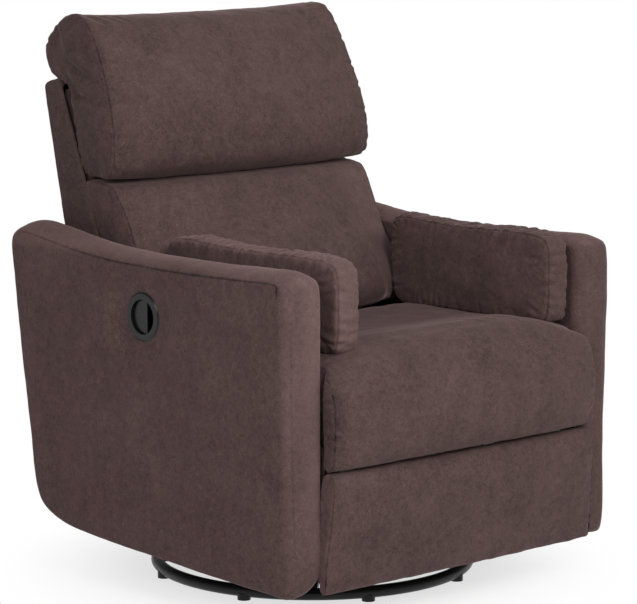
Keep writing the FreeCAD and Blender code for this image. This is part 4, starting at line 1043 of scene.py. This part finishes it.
def side_returns():
    """The footrest's cover where it turns round the board's ends, and the seat's side flaps outside it."""
    board_low, board_high = corners("footrest_board")
    footrest_x = board_high[0] + 0.6
    pad_rear = PAD_HIGH[1]
    pad_top = PAD_HIGH[2]
    strips = (
        ("footrest_return_", "footrest", footrest_x, footrest_x + 5.0, pad_rear - 3.0, pad_rear + 34.0,
         board_low[2] - 8.0, pad_top + 3.0),
        ("seat_flap_", "chair", ARM_LOW[0] - 6.0, ARM_LOW[0] - 2.0, pad_rear + 8.0, pad_rear + 40.0,
         pad_top - 16.0, pad_top + 44.0),
    )
    for prefix, body, inner, outer, front, rear, low, high in strips:
        shape = [
            (front, low + 4), (front + 4, low), (rear - 10, low), (rear, low + 10),
            (rear, 0.5 * (low + high)), (rear, high - 10), (rear - 10, high), (front + 4, high),
            (front, high - 4), (front, 0.5 * (low + high)),
        ]
        edge = smooth_outline(shape, steps_for(shape, FINE))
        middle = (0.5 * (front + rear), 0.5 * (low + high))
        stations = ((inner, 0.985), (inner + 1, 1.0), (outer - 1, 1.0), (outer, 0.985))
        for name, side in (("left", 1), ("right", -1)):
            rings = [ring_at(x * side, middle + (edge - middle) * share) for x, share in stations]
            piece = thin_strip(prefix + name, rings, middle, 0.0, 95)
            dress(piece, "upholstery_back")
            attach(piece, body)


def soft_pieces():
    made = [
        (headrest(), "back", "headrest_cushion", 0.8),
        (lumbar(), "back", "lumbar_cushion", 0.8),
        (seat(), "chair", "seat_cushion", 0.9),
        (footrest(), "footrest", "footrest_pad", 0.8),
    ]
    for side, shift, rear, seed in (("left", 7.0, 6.0, 51), ("right", 5.0, 22.0, 61)):
        node = "arm_pillow_" + side
        made.append((pillow(side + "_arm_bolster", node, shift, rear, seed), side + "_pillow", node, 0.7))
    for piece, body, node, fill in made:
        dress(piece, "upholstery")
        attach(piece, body)
        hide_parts(node)


def firm_pieces():
    left = arm("left_arm_upholstery", 1, 81)
    right = arm("right_arm_upholstery", -1, 82)
    cut_cup_hole(right)
    shell = softened("outer_back_upholstery", "back_shell", 4.0, 5)
    round_top(shell, SHELL_TOP, 18.0)
    skirt = softened("rear_skirt_upholstery", "rear_skirt", 4.0, 3)
    for name, side in (("left", 1), ("right", -1)):
        strip = boxing("back_boxing_" + name, side)
        dress(strip, "upholstery_back")
        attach(strip, "back")
    for piece, body, node, slot in (
        (left, "chair", "arm_cover_left", "upholstery"), (right, "chair", "arm_cover_right", "upholstery"),
        (shell, "back", "back_shell", "upholstery_back"), (skirt, "chair", "rear_skirt", "upholstery_back"),
    ):
        dress(piece, slot)
        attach(piece, body)
        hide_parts(node)


# Studio


def seen_by(tree, *kinds):
    """One for a ray of either of two kinds, and nothing for the rest."""
    ray = tree.nodes.new("ShaderNodeLightPath")
    seen = tree.nodes.new("ShaderNodeMath")
    seen.operation = "ADD"
    seen.use_clamp = True
    for kind, slot in zip(kinds, seen.inputs):
        tree.links.new(ray.outputs[kind], slot)
    return seen.outputs["Value"]


def backdrop():
    """A floor that is white to the camera except for a soft shadow round the chair."""
    bpy.ops.mesh.primitive_plane_add(size=60.0, location=(0, 0, -0.0005))
    floor = bpy.context.active_object
    floor.name = "studio_floor"
    material = bpy.data.materials.new("studio_floor")
    material.use_nodes = True
    tree = material.node_tree
    tree.nodes.clear()
    output = tree.nodes.new("ShaderNodeOutputMaterial")
    diffuse = tree.nodes.new("ShaderNodeBsdfDiffuse")
    diffuse.inputs["Color"].default_value = (FLOOR_GREY, FLOOR_GREY, FLOOR_GREY, 1.0)
    white = tree.nodes.new("ShaderNodeEmission")
    white.inputs["Color"].default_value = (1, 1, 1, 1)
    coords = tree.nodes.new("ShaderNodeTexCoord")
    length = tree.nodes.new("ShaderNodeVectorMath")
    length.operation = "LENGTH"
    tree.links.new(coords.outputs["Object"], length.inputs[0])
    fade = tree.nodes.new("ShaderNodeMapRange")
    fade.interpolation_type = "SMOOTHSTEP"
    fade.inputs["From Min"].default_value = FADE_NEAR
    fade.inputs["From Max"].default_value = FADE_FAR
    fade.inputs["To Min"].default_value = FADE_LEAST
    tree.links.new(length.outputs["Value"], fade.inputs["Value"])
    share = tree.nodes.new("ShaderNodeMath")
    share.operation = "MULTIPLY"
    tree.links.new(seen_by(tree, "Is Camera Ray", "Is Glossy Ray"), share.inputs[0])
    tree.links.new(fade.outputs["Result"], share.inputs[1])
    mix = tree.nodes.new("ShaderNodeMixShader")
    tree.links.new(share.outputs["Value"], mix.inputs["Fac"])
    tree.links.new(diffuse.outputs["BSDF"], mix.inputs[1])
    tree.links.new(white.outputs["Emission"], mix.inputs[2])
    tree.links.new(mix.outputs["Shader"], output.inputs["Surface"])
    floor.data.materials.append(material)


def sky():
    """White where the camera sees it, and a plain level of light for everything else."""
    world = bpy.data.worlds.new("studio")
    bpy.context.scene.world = world
    world.use_nodes = True
    tree = world.node_tree
    tree.nodes.clear()
    output = tree.nodes.new("ShaderNodeOutputWorld")
    light = tree.nodes.new("ShaderNodeBackground")
    light.inputs["Strength"].default_value = PLAIN_LIGHT
    white = tree.nodes.new("ShaderNodeBackground")
    mix = tree.nodes.new("ShaderNodeMixShader")
    for node in (light, white):
        node.inputs["Color"].default_value = (1, 1, 1, 1)
    white.inputs["Strength"].default_value = 1.0
    tree.links.new(seen_by(tree, "Is Camera Ray", "Is Transmission Ray"), mix.inputs["Fac"])
    tree.links.new(light.outputs["Background"], mix.inputs[1])
    tree.links.new(white.outputs["Background"], mix.inputs[2])
    tree.links.new(mix.outputs["Shader"], output.inputs["Surface"])


def lamp(name, place, size, watts):
    data = bpy.data.lights.new(name, "AREA")
    data.shape = "DISK"
    data.size = size
    data.energy = watts
    item = bpy.data.objects.new(name, data)
    bpy.context.scene.collection.objects.link(item)
    item.location = place
    item.rotation_euler = (Vector(LAMP_TARGET) - Vector(place)).to_track_quat("-Z", "Y").to_euler()


def camera():
    data = bpy.data.cameras.new("camera")
    data.lens = CAMERA_LENS
    data.sensor_width = SENSOR_WIDTH
    item = bpy.data.objects.new("camera", data)
    bpy.context.scene.collection.objects.link(item)
    item.location = CAMERA_PLACE
    item.rotation_euler = (math.radians(90 - CAMERA_DOWN), 0.0, math.radians(CAMERA_AZIMUTH))
    bpy.context.scene.camera = item


def studio():
    bpy.context.scene.view_settings.view_transform = "Standard"
    camera()
    backdrop()
    sky()
    for name, place, size, watts in LAMPS:
        lamp(name, place, size, watts)


dress_frame()
soft_pieces()
firm_pieces()
side_returns()
studio()
